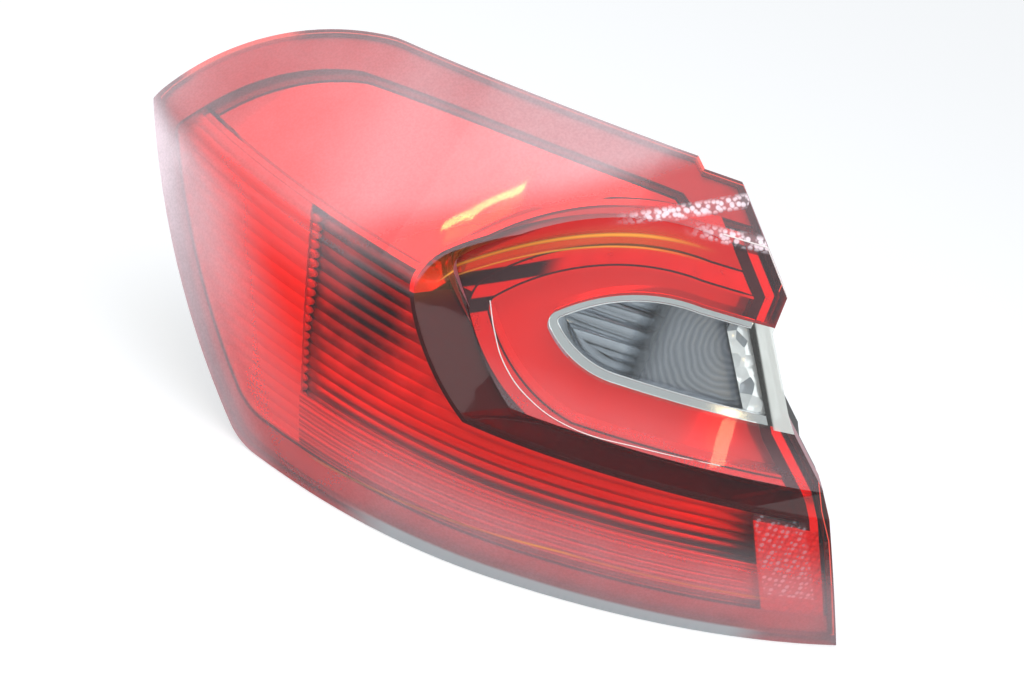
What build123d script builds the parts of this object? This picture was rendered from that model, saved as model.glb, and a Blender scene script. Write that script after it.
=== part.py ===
"""Left rear lamp cluster of a small hatchback, wrapping from the rear of the car round its corner.

Frame: +Z is up on the car, the lens faces -Y, and the fixing studs point along +Y into the body.
The origin is the foot of the main stud, on the plane of the body panel. Sizes are in millimetres.
"""

import math
import os
from functools import cache

from build123d import *

os.makedirs("parts", exist_ok=True)

# Plan of the lens: three tangent arcs, from the side of the car round to its rear
FRONT_X = 4
FRONT_Y = -158
CORNER_R = 220
SIDE_R = 370
REAR_R = 430
SIDE_TURN = 20
REAR_TURN = 8
SIDE_END = 58
REAR_END = 45

# Upright section of the lens: a bulged lower facet, a shoulder crease and a facet that leans back
CREASE_Z = 25
CREASE_R = 20
UPPER_LEAN = 40
BULGE_R = 350
BULGE_Z = -20
SECTION_LOW = -115
SECTION_HIGH = 125
DEEP = 200

# Outline of the lens, seen along Y: points on its edge and the way inwards at each, in degrees
BOTTOM_Z = -98
FAR_X = 260
HEEL_X = -103
HEEL_R = 25
SIDE_BELLY = (-157, -43)
SIDE_FACING = 44
TIP = (-208, 23)
TIP_FACING = 49
TIP_R = 4
CHEEK = (-170, 67)
CHEEK_FACING = -53
BROW = (-119, 96)
BROW_FACING = -72.5
BROW_R = 30
CROWN = (-40, 108)
STEP = (46, 110.5)
STEP_RUN = 7
STEP_DROP = 4

# Inner end of the lamp, on a plane across Y, with a wall that leans out towards the front
END_LINE = [(55, 118), (106, 65.5), (105.5, 48.5), (133, 7.5), (161.5, -18), (211, -106)]
END_LINE_Y = -60
END_DRAFT = 8
BEYOND_X = FAR_X + 60

# Limits of the solids that only trim others
TRIM_FRONT = -200
TRIM_BACK = 60

# Top of the lamp, seen along the slope on which its upper wall runs down to the back
TOP_SLOPE = 27
HOOD_TIP = (-208, 76)
HOOD_TIP_FACING = -32
HOOD_SHOULDER = (-168, 128.5)
HOOD_BROW = (-105, 152)
HOOD_BROW_FACING = -81.5
HOOD_BROW_R = 40
HOOD_CROWN = (-20, 147.7)
HOOD_STEP = (46, 151.2)
HOOD_STEP_DROP = 5
HOOD_FAR_RISE = 22
HOOD_MARGIN = 8
HOOD_BELOW_Z = -460
HOOD_REACH = 300

LENS_WALL = 3
LENS_SKIRT = 8
MOUTH_SKIRT = 18
FIT = 0.5
LINER = LENS_WALL + FIT

# Mouth: a scoop with a ledge below, a floor that leans back and a pointed nose
LEDGE_Z = -18
LEDGE_RISE = 2
MOUTH_DEPTH = 20
MOUTH_SLOPE = 0.333
MOUTH_LIP = 20
FLOOR_LOW = LEDGE_Z - 10
FLOOR_HIGH = 85
NOSE = (-40, 34)
NOSE_BROW = (0, 69.5)
NOSE_CROWN = (70, 84)
NOSE_JAW = (-12, 7)
NOSE_HEEL = (40, -20)
NOSE_SILL_Z = -30
NOSE_R = 8
NOSE_DRAFT = 30
NOSE_Y = -125
NOSE_REACH = 70

# Housing: a rim behind the lens skirt, a narrower chamber and a flat back
HOUSING_WALL = 2.5
RIM_DEPTH = 17
RIM_STEP = RIM_DEPTH - LENS_SKIRT
SHOULDER = RIM_DEPTH - HOUSING_WALL
CHAMBER_INSET = 10
BACK_Y = -8

# Bezel: a band behind the edge of the lens, a bar at the inner end and a mask round the mouth
BEZEL_WALL = 2.5
BEZEL_FACE = 6
BEZEL_BACK = BEZEL_FACE + BEZEL_WALL
BAND_TOP = 17
BAND_SIDE = 10
BAND_LOW = 17
BAR_NEAR = 9.5
BAR_FAR = 14.5
BAR_FOOT_Z = -28
BAR_HEAD_Z = 80
SLIM_NEAR = 7
SLIM_FAR = 10.5
END_GAP = 5.5
MASK_WALL = 2
MASK_TOP_Z = 22

# Optics and reflectors
OPTIC_WALL = 2
UPPER_FOOT_Z = 29
RIB_PITCH = 6
RIB_RISE = 1.1
FINE_PITCH = 4
FINE_RISE = 0.6
FINE_COUNT = 6
UNDER_BAND_TOP = 5
UNDER_BAND_LOW = 4
RIB_TUCK = 3
REAR_DEPTH = 20
UPPER_DEPTH = 12
RING_WALL = 4.5
DISH_DEPTH = 12
DISH_WALL = 1.5
LEAF_DEPTH = 24
LEAF_LIP = 4
LEAF_WALL = 1.8
FLUTE_PITCH = 8
FLUTE_RISE = 1.6
FLUTE_COUNT = 7
FLUTE_FOOT_Z = 2
RIPPLE_DEPTH = 13
RIPPLE_FROM_X = 56
CHIMNEY_DEPTH = 28
RING_BAND = 9
CRYSTAL_WIDTH = 10
CRYSTAL_GAP = 2
LEAF_TIP = (9, 26)
LEAF_BROW = (34, 45)
LEAF_TOP = (75, 52.5)
LEAF_JAW = (27, 13)
LEAF_FOOT = (52, 8)
RING_TIP = (-18, 21)
RING_BROW = (16, 51)
RING_TOP = (70, 62.5)
RING_JAW = (4, 0)
RING_FOOT = (40, -14.5)
LEAF_TIP_R = 6
RETRO_FACE = 4
RETRO = [(136, -28), (FAR_X, -28), (FAR_X, -80), (162, -80)]
CORNER_LINE = [(-129, 92), (-71, -95)]

# Bulbs, holders and fixings, placed by X and Z on the back of the housing
STOP_AT = (-70, -25)
TURN_AT = (74, 24)
FOG_AT = (45, -50)
HOLDER_R = 14
HOLDER_FLANGE_R = 19
HOLDER_FRONT_Y = -30
COLLAR_R = 10
COLLAR_FRONT_Y = -42
CAP_R = 7.6
CAP_BACK_Y = -24
CAP_FRONT_Y = -46
GLASS_R = 12.5
GLASS_Y = -74
NECK_R = 6.5
SEAL_T = 2
FLANGE_T = 3
INLET = (22, 14)
INLET_R = 2
INLET_WALL = 1.5
INLET_BACK_Y = 12
STUD_R = 3
STUD_LENGTH = 22
BOSS_R = 9
MAIN_STUD = (0, 0)
SECOND_STUD = (135, -50)
LOCATOR = (-120, 22)
LOCATOR_R = 5
LOCATOR_SPIGOT_R = 4
LOCATOR_LEAD = 2
LOCATOR_FOOT_Y = -3
LOCATOR_LENGTH = 18
VENTS = [(-30, 33), (92, -12)]
VENT_R = 7
VENT_NECK_R = 5
VENT_NECK = 2
VENT_TOP_Y = -2
GASKET_INSET = CHAMBER_INSET + 3
GASKET_WIDTH = 7
BOWL_WALL = 1.5
BOWL_NECK_R = 15.5
BOWL_NECK_Y = -36
BOWL_MOUTH_Y = -92
BOWL_BELLY = 5
STOP_BOWL_R = 40
FOG_BOWL_R = 26
SEAT = 1


class Turn:
    """One arc of the plan: the plane of its first section, its upright axis and its angle."""

    def __init__(self, centre, radius, first, last):
        first_r = math.radians(first)
        start = (centre[0] + radius * math.sin(first_r), centre[1] - radius * math.cos(first_r), 0)
        inward = (-math.sin(first_r), math.cos(first_r), 0)
        along = (math.cos(first_r), math.sin(first_r), 0)
        self.plane = Plane(origin=start, x_dir=inward, z_dir=along)
        self.axis = Axis((centre[0], centre[1], 0), (0, 0, 1))
        self.angle = last - first


def shifted(centre, angle, distance):
    """The centre of an arc that is tangent to another at this angle."""
    turn = math.radians(angle)
    return (centre[0] + distance * math.sin(turn), centre[1] - distance * math.cos(turn))


corner_centre = (FRONT_X, FRONT_Y + CORNER_R)
side_centre = shifted(corner_centre, -SIDE_TURN, CORNER_R - SIDE_R)
rear_centre = shifted(corner_centre, REAR_TURN, CORNER_R - REAR_R)
PLAN = [
    Turn(side_centre, SIDE_R, -SIDE_END, -SIDE_TURN),
    Turn(corner_centre, CORNER_R, -SIDE_TURN, REAR_TURN),
    Turn(rear_centre, REAR_R, REAR_TURN, REAR_END),
]


def bulge(z):
    """How far the lower facet falls back from its proudest height."""
    return BULGE_R - math.sqrt(BULGE_R**2 - (z - BULGE_Z) ** 2)


UPPER_LEAN_R = math.radians(UPPER_LEAN)
LOWER_LEAN_R = math.asin((CREASE_Z - BULGE_Z) / BULGE_R)
LEAN_RUN = (SECTION_HIGH - CREASE_Z) * math.tan(UPPER_LEAN_R)


def skin(depth):
    """Low end, middle, crease rounding and high end of the lens section, moved inwards by depth."""
    middle_z = (SECTION_LOW + CREASE_Z) / 2
    half_turn = (UPPER_LEAN_R - LOWER_LEAN_R) / 2
    lean = (UPPER_LEAN_R + LOWER_LEAN_R) / 2
    reach = CREASE_R * math.tan(half_turn)
    sink = CREASE_R * (1 / math.cos(half_turn) - 1)
    crease = depth + bulge(CREASE_Z)
    foot_z = CREASE_Z - reach * math.cos(LOWER_LEAN_R)
    return [
        (depth + bulge(SECTION_LOW), SECTION_LOW),
        (depth + bulge(middle_z), middle_z),
        (depth + bulge(foot_z), foot_z),
        (crease + sink * math.cos(lean), CREASE_Z - sink * math.sin(lean)),
        (crease + reach * math.sin(UPPER_LEAN_R), CREASE_Z + reach * math.cos(UPPER_LEAN_R)),
        (crease + LEAN_RUN, SECTION_HIGH),
    ]


def skin_line(depth):
    """The lens section from its low end to its high end, moved inwards by depth."""
    low, middle, foot, crease, head, high = skin(depth)
    ThreePointArc(low, middle, foot)
    ThreePointArc(foot, crease, head)
    Line(head, high)


def layer_section(outer, inner):
    """The section between two depths under the lens surface."""
    skin_line(outer)
    skin_line(inner)
    Line(skin(outer)[0], skin(inner)[0])
    Line(skin(outer)[-1], skin(inner)[-1])


def deep_section(outer):
    """The section of everything behind one depth under the lens surface."""
    skin_line(outer)
    Polyline(skin(outer)[-1], (DEEP, SECTION_HIGH), (DEEP, SECTION_LOW), skin(outer)[0])


def floor_depth(z):
    """Depth of the mouth's floor behind the plan, at a height."""
    return MOUTH_DEPTH + (z - LEDGE_Z - LEDGE_RISE) * MOUTH_SLOPE


def mouth_section(grow):
    """The section of the scoop, grown outwards on all sides."""
    ledge = LEDGE_Z - grow
    heel = ledge + LEDGE_RISE
    Polyline(
        (-MOUTH_LIP, ledge),
        (0, ledge),
        (floor_depth(heel) + grow, heel),
        (floor_depth(SECTION_HIGH) + grow, SECTION_HIGH),
        (-MOUTH_LIP, SECTION_HIGH),
        close=True,
    )


def floor_section(near, far, low=FLOOR_LOW, high=FLOOR_HIGH):
    """The section between two depths behind the mouth's floor."""
    Polyline(
        (floor_depth(low) + near, low),
        (floor_depth(low) + far, low),
        (floor_depth(high) + far, high),
        (floor_depth(high) + near, high),
        close=True,
    )


def box_section(near, far, low, high):
    """A plain section between two depths and two heights."""
    Polyline((near, low), (far, low), (far, high), (near, high), close=True)


def ribbed_line(depth_of, low, count, pitch, rise):
    """A row of shallow ribs standing proud of a face, drawn upwards from its low end."""
    for rib in range(count):
        foot = low + rib * pitch
        head = foot + pitch
        middle = (foot + head) / 2
        ThreePointArc((depth_of(foot), foot), (depth_of(middle) - rise, middle), (depth_of(head), head))


def ribbed_section(depth_of, wall, low, count, pitch, rise):
    """The section of a plate with a flat back and a ribbed front."""
    heights = [low + rib * pitch for rib in range(count, -1, -1)]
    back = [(depth_of(z) + wall, z) for z in heights]
    ribbed_line(depth_of, low, count, pitch, rise)
    Polyline((depth_of(heights[0]), heights[0]), *back, (depth_of(low), low))


def round_plan(section, *sizes):
    """A solid that carries one section round all three arcs of the plan."""
    with BuildPart() as solid:
        for turn in PLAN:
            with BuildSketch(turn.plane) as cut:
                with BuildLine():
                    section(*sizes)
                make_face()
            revolve(cut.sketch, axis=turn.axis, revolution_arc=turn.angle)
    return solid.part


def inward(point, distance, facing):
    """A point of an outline, moved inwards along the way that it faces."""
    turn = math.radians(facing)
    return (point[0] + distance * math.cos(turn), point[1] + distance * math.sin(turn))


def lamp_outline(top, side, low):
    """The lens outline, moved inwards by these distances at its top, side and lower edges."""
    facing = math.radians(SIDE_FACING)
    heel = (HEEL_X + (side - low * math.sin(facing)) / math.cos(facing), BOTTOM_Z + low)
    belly = inward(SIDE_BELLY, side, SIDE_FACING)
    tip = inward(inward(TIP, side, TIP_FACING), top, CHEEK_FACING)
    cheek = inward(CHEEK, top, CHEEK_FACING)
    brow = inward(BROW, top, BROW_FACING)
    step = (STEP[0], STEP[1] - top)
    under_step = (STEP[0] + STEP_RUN, step[1] - STEP_DROP)
    with BuildSketch(Plane.XZ) as outline:
        with BuildLine():
            Line((FAR_X, BOTTOM_Z + low), heel)
            ThreePointArc(heel, belly, tip)
            ThreePointArc(tip, cheek, brow)
            ThreePointArc(brow, (CROWN[0], CROWN[1] - top), step)
            Polyline(step, under_step, (FAR_X, under_step[1]), (FAR_X, BOTTOM_Z + low))
        make_face()
        fillet(outline.vertices().sort_by_distance((*heel, 0))[0], HEEL_R)
        fillet(outline.vertices().sort_by_distance((*brow, 0))[0], BROW_R)
        fillet(outline.vertices().sort_by_distance((*tip, 0))[0], TIP_R)
    return outline.sketch


def prism(sketch, y_from=TRIM_FRONT, y_to=TRIM_BACK):
    """A sketch of the XZ plane, drawn out along Y."""
    return extrude(Pos(0, y_to, 0) * sketch, amount=y_to - y_from, dir=(0, -1, 0), mode=Mode.PRIVATE)


def carved(base, keep=(), cut=(), join=()):
    """A piece made from one solid: trimmed to others, cut by others, then joined by more."""
    with BuildPart() as piece:
        add(base)
        for solid in keep:
            add(solid, mode=Mode.INTERSECT)
        for solid in cut:
            add(solid, mode=Mode.SUBTRACT)
        for solid in join:
            add(solid)
    return piece


def hood(inset):
    """What lies under the upper wall of the lamp, which slopes down to the back."""
    tip = inward(HOOD_TIP, inset, HOOD_TIP_FACING)
    shoulder = inward(HOOD_SHOULDER, inset, CHEEK_FACING)
    brow = inward(HOOD_BROW, inset, HOOD_BROW_FACING)
    crown = (HOOD_CROWN[0], HOOD_CROWN[1] - inset)
    step = (HOOD_STEP[0], HOOD_STEP[1] - inset)
    below = HOOD_BELOW_Z
    with BuildSketch(Plane.XZ.offset(-FRONT_Y)) as outline:
        with BuildLine():
            Polyline((FAR_X, below), (-FAR_X, below), (-FAR_X, 0), tip)
            ThreePointArc(tip, shoulder, brow)
            ThreePointArc(brow, crown, step)
            Polyline(
                step,
                (step[0] + HOOD_STEP_DROP, step[1] - HOOD_STEP_DROP),
                (FAR_X, step[1] - HOOD_STEP_DROP + HOOD_FAR_RISE),
                (FAR_X, below),
            )
        make_face()
        fillet(outline.vertices().sort_by_distance((*brow, 0))[0], HOOD_BROW_R)
    slope = (0, math.cos(math.radians(TOP_SLOPE)), -math.sin(math.radians(TOP_SLOPE)))
    return extrude(outline.sketch, amount=HOOD_REACH, dir=slope, mode=Mode.PRIVATE)


@cache
def inset_prism(inset, y_to=TRIM_BACK):
    """The outline of the lamp with all its walls moved inwards by one distance."""
    straight = prism(lamp_outline(inset - HOOD_MARGIN, inset, inset), y_to=y_to)
    return carved(straight, keep=[hood(inset)]).part


def nose_outline(grow):
    """The pointed end of the mouth at the depth of its floor."""
    with BuildSketch(Plane.XZ.offset(-NOSE_Y)) as outline:
        with BuildLine():
            ThreePointArc(NOSE_CROWN, NOSE_BROW, NOSE)
            ThreePointArc(NOSE, NOSE_JAW, NOSE_HEEL)
            Polyline(
                NOSE_HEEL,
                (FAR_X, NOSE_SILL_Z),
                (FAR_X, SECTION_HIGH),
                (NOSE_CROWN[0], SECTION_HIGH),
                NOSE_CROWN,
            )
        make_face()
        fillet(outline.vertices().sort_by_distance((*NOSE, 0))[0], NOSE_R)
        if grow:
            offset(amount=grow)
    return outline.sketch


@cache
def mouth(grow):
    """The scoop, as a solid to cut away, grown outwards on all sides."""
    face = nose_outline(grow)
    with BuildPart() as pointed:
        extrude(face, amount=NOSE_REACH, dir=(0, -1, 0), taper=-NOSE_DRAFT)
        extrude(face, amount=-NOSE_Y, dir=(0, 1, 0))
    return carved(pointed.part, keep=[round_plan(mouth_section, grow)]).part


@cache
def end_cut(grow):
    """What lies beyond the inner end of the lamp, whose wall leans out towards the front."""
    with BuildSketch(Plane.XZ.offset(-END_LINE_Y)) as beyond:
        with BuildLine():
            Polyline(*END_LINE, (BEYOND_X, END_LINE[-1][1]), (BEYOND_X, END_LINE[0][1]), close=True)
        make_face()
        if grow:
            offset(amount=grow, kind=Kind.INTERSECTION)
    with BuildPart() as cutter:
        extrude(beyond.sketch, amount=END_LINE_Y - TRIM_FRONT, dir=(0, -1, 0), taper=END_DRAFT)
        extrude(beyond.sketch, amount=TRIM_BACK - END_LINE_Y, dir=(0, 1, 0))
    return cutter.part


def core(gap):
    """The inside of the lamp behind a wall of this thickness, open at its back."""
    behind = round_plan(deep_section, gap)
    return carved(behind, keep=[inset_prism(gap)], cut=[mouth(gap), end_cut(gap)]).part


def pointed_outline(tip, brow, top, jaw, foot, grow):
    """A leaf with a rounded tip that runs out through the inner end, grown outwards on all sides."""
    with BuildSketch(Plane.XZ) as outline:
        with BuildLine():
            ThreePointArc(top, brow, tip)
            ThreePointArc(tip, jaw, foot)
            Polyline(foot, (FAR_X, foot[1]), (FAR_X, top[1]), top)
        make_face()
        fillet(outline.vertices().sort_by_distance((*tip, 0))[0], LEAF_TIP_R)
        if grow:
            offset(amount=grow)
    return outline.sketch


def leaf_outline(inset):
    """The edge of the clear window."""
    return pointed_outline(LEAF_TIP, LEAF_BROW, LEAF_TOP, LEAF_JAW, LEAF_FOOT, -inset)


def ring_outline(grow):
    """The edge of the dish round the window."""
    return pointed_outline(RING_TIP, RING_BROW, RING_TOP, RING_JAW, RING_FOOT, grow)


def finish(builder, name):
    """Labels a finished piece and writes it out."""
    builder.part.label = name
    export_step(builder.part, f"parts/{name}.step")


liner = core(LINER)
window_prism = prism(leaf_outline(0))

# Lens: one moulded shell in red and clear acrylic
lens_front = round_plan(deep_section, 0)
mouth_wall = carved(lens_front, keep=[mouth(MOUTH_SKIRT)]).part
lens_block = carved(round_plan(layer_section, 0, LENS_SKIRT), join=[mouth_wall]).part
lens_shell = carved(lens_block, keep=[inset_prism(0)], cut=[mouth(0), end_cut(0), core(LENS_WALL)]).part

red_lens = carved(lens_shell, cut=[window_prism])
finish(red_lens, "red_lens")

clear_window = carved(lens_shell, keep=[window_prism])
finish(clear_window, "clear_window")

# Housing: rim, shoulder and chamber of one wall, with bosses and bulb openings in its flat back


def upright(at, y):
    """The plane across a place on the back of the housing, facing along +Y."""
    return Plane(origin=(at[0], y, at[1]), x_dir=(1, 0, 0), z_dir=(0, 1, 0))


def rod(at, radius, y_from, y_to):
    """A round bar along Y."""
    with BuildPart() as bar:
        with BuildSketch(upright(at, y_from)):
            Circle(radius)
        extrude(amount=y_to - y_from)
    return bar.part


def turned(at, *outline):
    """A solid turned about an axis along Y, from points of radius and Y."""
    with BuildPart() as solid:
        with BuildSketch(Plane.XY.offset(at[1])):
            with BuildLine():
                Polyline(*[(at[0] + radius, y) for radius, y in outline], close=True)
            make_face()
        revolve(axis=Axis((at[0], 0, at[1]), (0, 1, 0)))
    return solid


def block(x_from, x_to, z_from, z_to):
    """A block through the whole depth of the lamp."""
    with BuildSketch(Plane.XZ) as face:
        with Locations(((x_from + x_to) / 2, (z_from + z_to) / 2)):
            Rectangle(x_to - x_from, z_to - z_from)
    return prism(face.sketch)


def polygon_prism(points):
    with BuildSketch(Plane.XZ) as face:
        with BuildLine():
            Polyline(*points, close=True)
        make_face()
    return prism(face.sketch)


BULBS = {"stop": STOP_AT, "turn": TURN_AT, "fog": FOG_AT}
STUDS = {"main_stud": MAIN_STUD, "second_stud": SECOND_STUD}

behind_skirt = round_plan(deep_section, LENS_SKIRT)
mouth_rim = carved(behind_skirt, keep=[mouth(MOUTH_SKIRT + RIM_STEP)]).part
mouth_hollow = carved(behind_skirt, keep=[mouth(MOUTH_SKIRT + RIM_STEP - HOUSING_WALL)]).part
rim = carved(round_plan(layer_section, LENS_SKIRT, RIM_DEPTH), join=[mouth_rim]).part
front_space = carved(round_plan(layer_section, LINER, SHOULDER), join=[mouth_hollow]).part
chamber_inset = CHAMBER_INSET + HOUSING_WALL
back_inner_y = BACK_Y - HOUSING_WALL
rim_outer = carved(rim, keep=[inset_prism(FIT, BACK_Y)], cut=[end_cut(FIT)]).part
rim_inner = carved(front_space, keep=[inset_prism(LENS_WALL, back_inner_y)], cut=[end_cut(LENS_WALL)]).part
chamber_outer = carved(
    behind_skirt, keep=[inset_prism(CHAMBER_INSET, BACK_Y)], cut=[end_cut(CHAMBER_INSET)]
).part
chamber_inner = carved(
    behind_skirt, keep=[inset_prism(chamber_inset, back_inner_y)], cut=[end_cut(chamber_inset)]
).part
bosses = [rod(at, BOSS_R, back_inner_y, 0) for at in STUDS.values()]
bosses.append(rod(LOCATOR, BOSS_R, back_inner_y, LOCATOR_FOOT_Y))
stud_seats = [rod(at, 2 * STUD_R, -STUD_R, SEAT) for at in STUDS.values()]
pin_seat = rod(LOCATOR, LOCATOR_SPIGOT_R, back_inner_y - SEAT, SEAT)
bulb_holes = [rod(at, HOLDER_R + FIT, back_inner_y - SEAT, BACK_Y + SEAT) for at in BULBS.values()]

housing_block = carved(rim_outer, join=[chamber_outer]).part
housing_shell = carved(
    housing_block, cut=[rim_inner, chamber_inner, mouth(MOUTH_SKIRT), *bulb_holes], join=bosses
).part
housing = carved(housing_shell, cut=[*stud_seats, pin_seat])
finish(housing, "housing")

# Edge frame: a band behind the edge of the lens, on a wall that rests on the housing's shoulder
bar_height = block(-FAR_X, FAR_X, BAR_FOOT_Z, BAR_HEAD_Z)
above_ledge = block(-FAR_X, FAR_X, LEDGE_Z, SECTION_HIGH)
band_opening = prism(lamp_outline(BAND_TOP, BAND_SIDE, BAND_LOW))
band = carved(round_plan(layer_section, BEZEL_FACE, BEZEL_BACK), keep=[liner], cut=[band_opening]).part
edge_frame = carved(
    round_plan(layer_section, BEZEL_FACE, SHOULDER),
    keep=[liner, inset_prism(0, back_inner_y)],
    cut=[inset_prism(LINER + BEZEL_WALL)],
    join=[band],
)
finish(edge_frame, "edge_frame")

# Bezel: the black bar at the inner end, slim behind the window, and the mask round the mouth
ring_edge = prism(ring_outline(0))
ring_opening = carved(prism(ring_outline(RING_BAND)), keep=[above_ledge]).part
mask_gap = LINER + FIT
mask_back = mask_gap + MASK_WALL
mouth_lining = carved(mouth(mask_back), keep=[liner], cut=[mouth(mask_gap), ring_opening]).part
mask = carved(
    mouth_lining, keep=[block(-FAR_X, FAR_X, SECTION_LOW, MASK_TOP_Z)], cut=[end_cut(BAR_NEAR)]
).part
slim_bar = carved(end_cut(SLIM_FAR), keep=[liner, front_space, window_prism], cut=[end_cut(SLIM_NEAR)]).part
bezel = carved(
    end_cut(BAR_FAR),
    keep=[liner, front_space, bar_height],
    cut=[end_cut(BAR_NEAR), window_prism, edge_frame.part],
    join=[slim_bar, mask],
)
finish(bezel, "bezel")

brow_liner = carved(
    mouth_lining, keep=[block(-FAR_X, FAR_X, MASK_TOP_Z, SECTION_HIGH)], cut=[end_cut(BAR_FAR)]
)
finish(brow_liner, "brow_liner")

# Tail ring, dish and window chamber, all behind the mouth's floor
beyond_bar = end_cut(BAR_FAR)
beyond_slim = end_cut(SLIM_FAR)
tail_ring = carved(
    round_plan(floor_section, LINER, LINER + RING_WALL),
    keep=[liner, ring_opening],
    cut=[ring_edge, beyond_bar],
)
finish(tail_ring, "tail_ring")

dish_wall = carved(
    round_plan(floor_section, LINER, DISH_DEPTH + DISH_WALL),
    keep=[liner, ring_edge],
    cut=[prism(ring_outline(-DISH_WALL)), beyond_bar],
).part
ring_dish = carved(
    round_plan(floor_section, DISH_DEPTH, DISH_DEPTH + DISH_WALL),
    keep=[liner, ring_edge],
    cut=[window_prism, beyond_bar],
    join=[dish_wall],
)
finish(ring_dish, "ring_dish")

chamber_bore = prism(leaf_outline(LEAF_WALL))
chimney = carved(
    round_plan(floor_section, LINER, CHIMNEY_DEPTH),
    keep=[liner, window_prism],
    cut=[chamber_bore, beyond_bar],
).part
leaf_bezel = carved(
    round_plan(floor_section, LINER, LINER + LEAF_WALL),
    keep=[liner, window_prism],
    cut=[prism(leaf_outline(LEAF_LIP)), beyond_slim],
    join=[chimney],
)
finish(leaf_bezel, "leaf_bezel")

flutes = round_plan(
    ribbed_section,
    lambda z: floor_depth(z) + LEAF_DEPTH + FLUTE_RISE,
    OPTIC_WALL,
    FLUTE_FOOT_Z,
    FLUTE_COUNT,
    FLUTE_PITCH,
    FLUTE_RISE,
)
turn_opening = rod(TURN_AT, HOLDER_R, TRIM_FRONT, 0)
leaf_reflector = carved(flutes, keep=[liner, chamber_bore], cut=[beyond_bar, turn_opening])
finish(leaf_reflector, "leaf_reflector")

ripple_lens = carved(
    round_plan(floor_section, RIPPLE_DEPTH, RIPPLE_DEPTH + OPTIC_WALL),
    keep=[liner, chamber_bore, block(RIPPLE_FROM_X, FAR_X, LEDGE_Z, SECTION_HIGH)],
    cut=[beyond_slim],
)
finish(ripple_lens, "ripple_lens")

crystal_bar = carved(
    round_plan(floor_section, LINER + LEAF_WALL, RIPPLE_DEPTH - CRYSTAL_GAP),
    keep=[liner, chamber_bore, end_cut(SLIM_FAR + CRYSTAL_WIDTH)],
    cut=[beyond_slim],
)
finish(crystal_bar, "crystal_bar")

# Reflector of the upper facet, and the ribbed optics of the side, rear and lower edge
tray_top = BAND_TOP - UNDER_BAND_TOP
tray_side = LINER + BEZEL_WALL
under_band = prism(lamp_outline(tray_top, tray_side, BAND_LOW - UNDER_BAND_LOW))
tray_floor = block(-FAR_X, FAR_X, UPPER_FOOT_Z + OPTIC_WALL, SECTION_HIGH)
tray_hollow = carved(
    prism(lamp_outline(tray_top + OPTIC_WALL, tray_side + OPTIC_WALL, BAND_LOW)), keep=[tray_floor]
).part
above_crease = block(-FAR_X, FAR_X, UPPER_FOOT_Z, SECTION_HIGH)
bar_clearance = carved(beyond_bar, keep=[block(-FAR_X, BEYOND_X, SECTION_LOW, BAR_HEAD_Z + FIT)]).part
tray_limits = [liner, inset_prism(tray_side), under_band, above_crease]
tray_cuts = [bar_clearance, prism(ring_outline(RING_BAND + FIT)), mouth(mask_back)]
tray_wall = carved(
    round_plan(layer_section, BEZEL_BACK, UPPER_DEPTH), keep=tray_limits, cut=[tray_hollow, *tray_cuts]
).part
upper_reflector = carved(
    round_plan(layer_section, UPPER_DEPTH, UPPER_DEPTH + OPTIC_WALL),
    keep=tray_limits,
    cut=tray_cuts,
    join=[tray_wall],
)
finish(upper_reflector, "upper_reflector")

side_half = polygon_prism([*CORNER_LINE, (-FAR_X, CORNER_LINE[1][1]), (-FAR_X, CORNER_LINE[0][1])])
rib_foot = BOTTOM_Z + BAND_LOW - RIB_TUCK
rib_head = UPPER_FOOT_Z - FIT
rib_count = round((rib_head - rib_foot) / RIB_PITCH)
rib_pitch = (rib_head - rib_foot) / rib_count
side_rib_depth = BEZEL_BACK + OPTIC_WALL + RIB_RISE
side_limits = [liner, inset_prism(tray_side), under_band, side_half]
side_ribs = carved(
    round_plan(
        ribbed_section,
        lambda z: bulge(z) + side_rib_depth,
        OPTIC_WALL,
        rib_foot,
        rib_count,
        rib_pitch,
        RIB_RISE,
    ),
    keep=side_limits,
).part
side_flange = carved(
    round_plan(layer_section, BEZEL_BACK, side_rib_depth + OPTIC_WALL),
    keep=[*side_limits, block(-FAR_X, FAR_X, rib_foot, rib_head)],
    cut=[band_opening],
).part
side_optic = carved(side_ribs, join=[side_flange])
finish(side_optic, "side_optic")

edge_depth = bulge(rib_foot) + BEZEL_BACK
shelf_depth = bulge(rib_foot) + REAR_DEPTH + RIB_RISE + OPTIC_WALL
shelf = round_plan(box_section, edge_depth + OPTIC_WALL, shelf_depth, rib_foot, rib_foot + OPTIC_WALL)
rear_ribs = round_plan(
    ribbed_section,
    lambda z: bulge(z) + REAR_DEPTH + RIB_RISE,
    OPTIC_WALL,
    rib_foot,
    rib_count,
    rib_pitch,
    RIB_RISE,
)
rear_optic = carved(
    carved(rear_ribs, join=[shelf]).part,
    keep=[liner],
    cut=[side_half, beyond_bar, mouth(mask_back)],
)
finish(rear_optic, "rear_optic")

lower_edge = round_plan(
    box_section, edge_depth, edge_depth + OPTIC_WALL, rib_foot, rib_foot + FINE_PITCH
)
fine_ribs = round_plan(
    ribbed_section,
    lambda z: bulge(z) + BEZEL_BACK + FINE_RISE,
    OPTIC_WALL - FINE_RISE,
    rib_foot + FINE_PITCH,
    FINE_COUNT,
    FINE_PITCH,
    FINE_RISE,
)
lower_optic = carved(carved(fine_ribs, join=[lower_edge]).part, keep=[liner], cut=[side_half])
finish(lower_optic, "lower_optic")

retro_reflector = carved(
    round_plan(layer_section, RETRO_FACE, BEZEL_BACK),
    keep=[liner, polygon_prism(RETRO)],
    cut=[lower_optic.part, end_cut(END_GAP)],
)
finish(retro_reflector, "retro_reflector")

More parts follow.
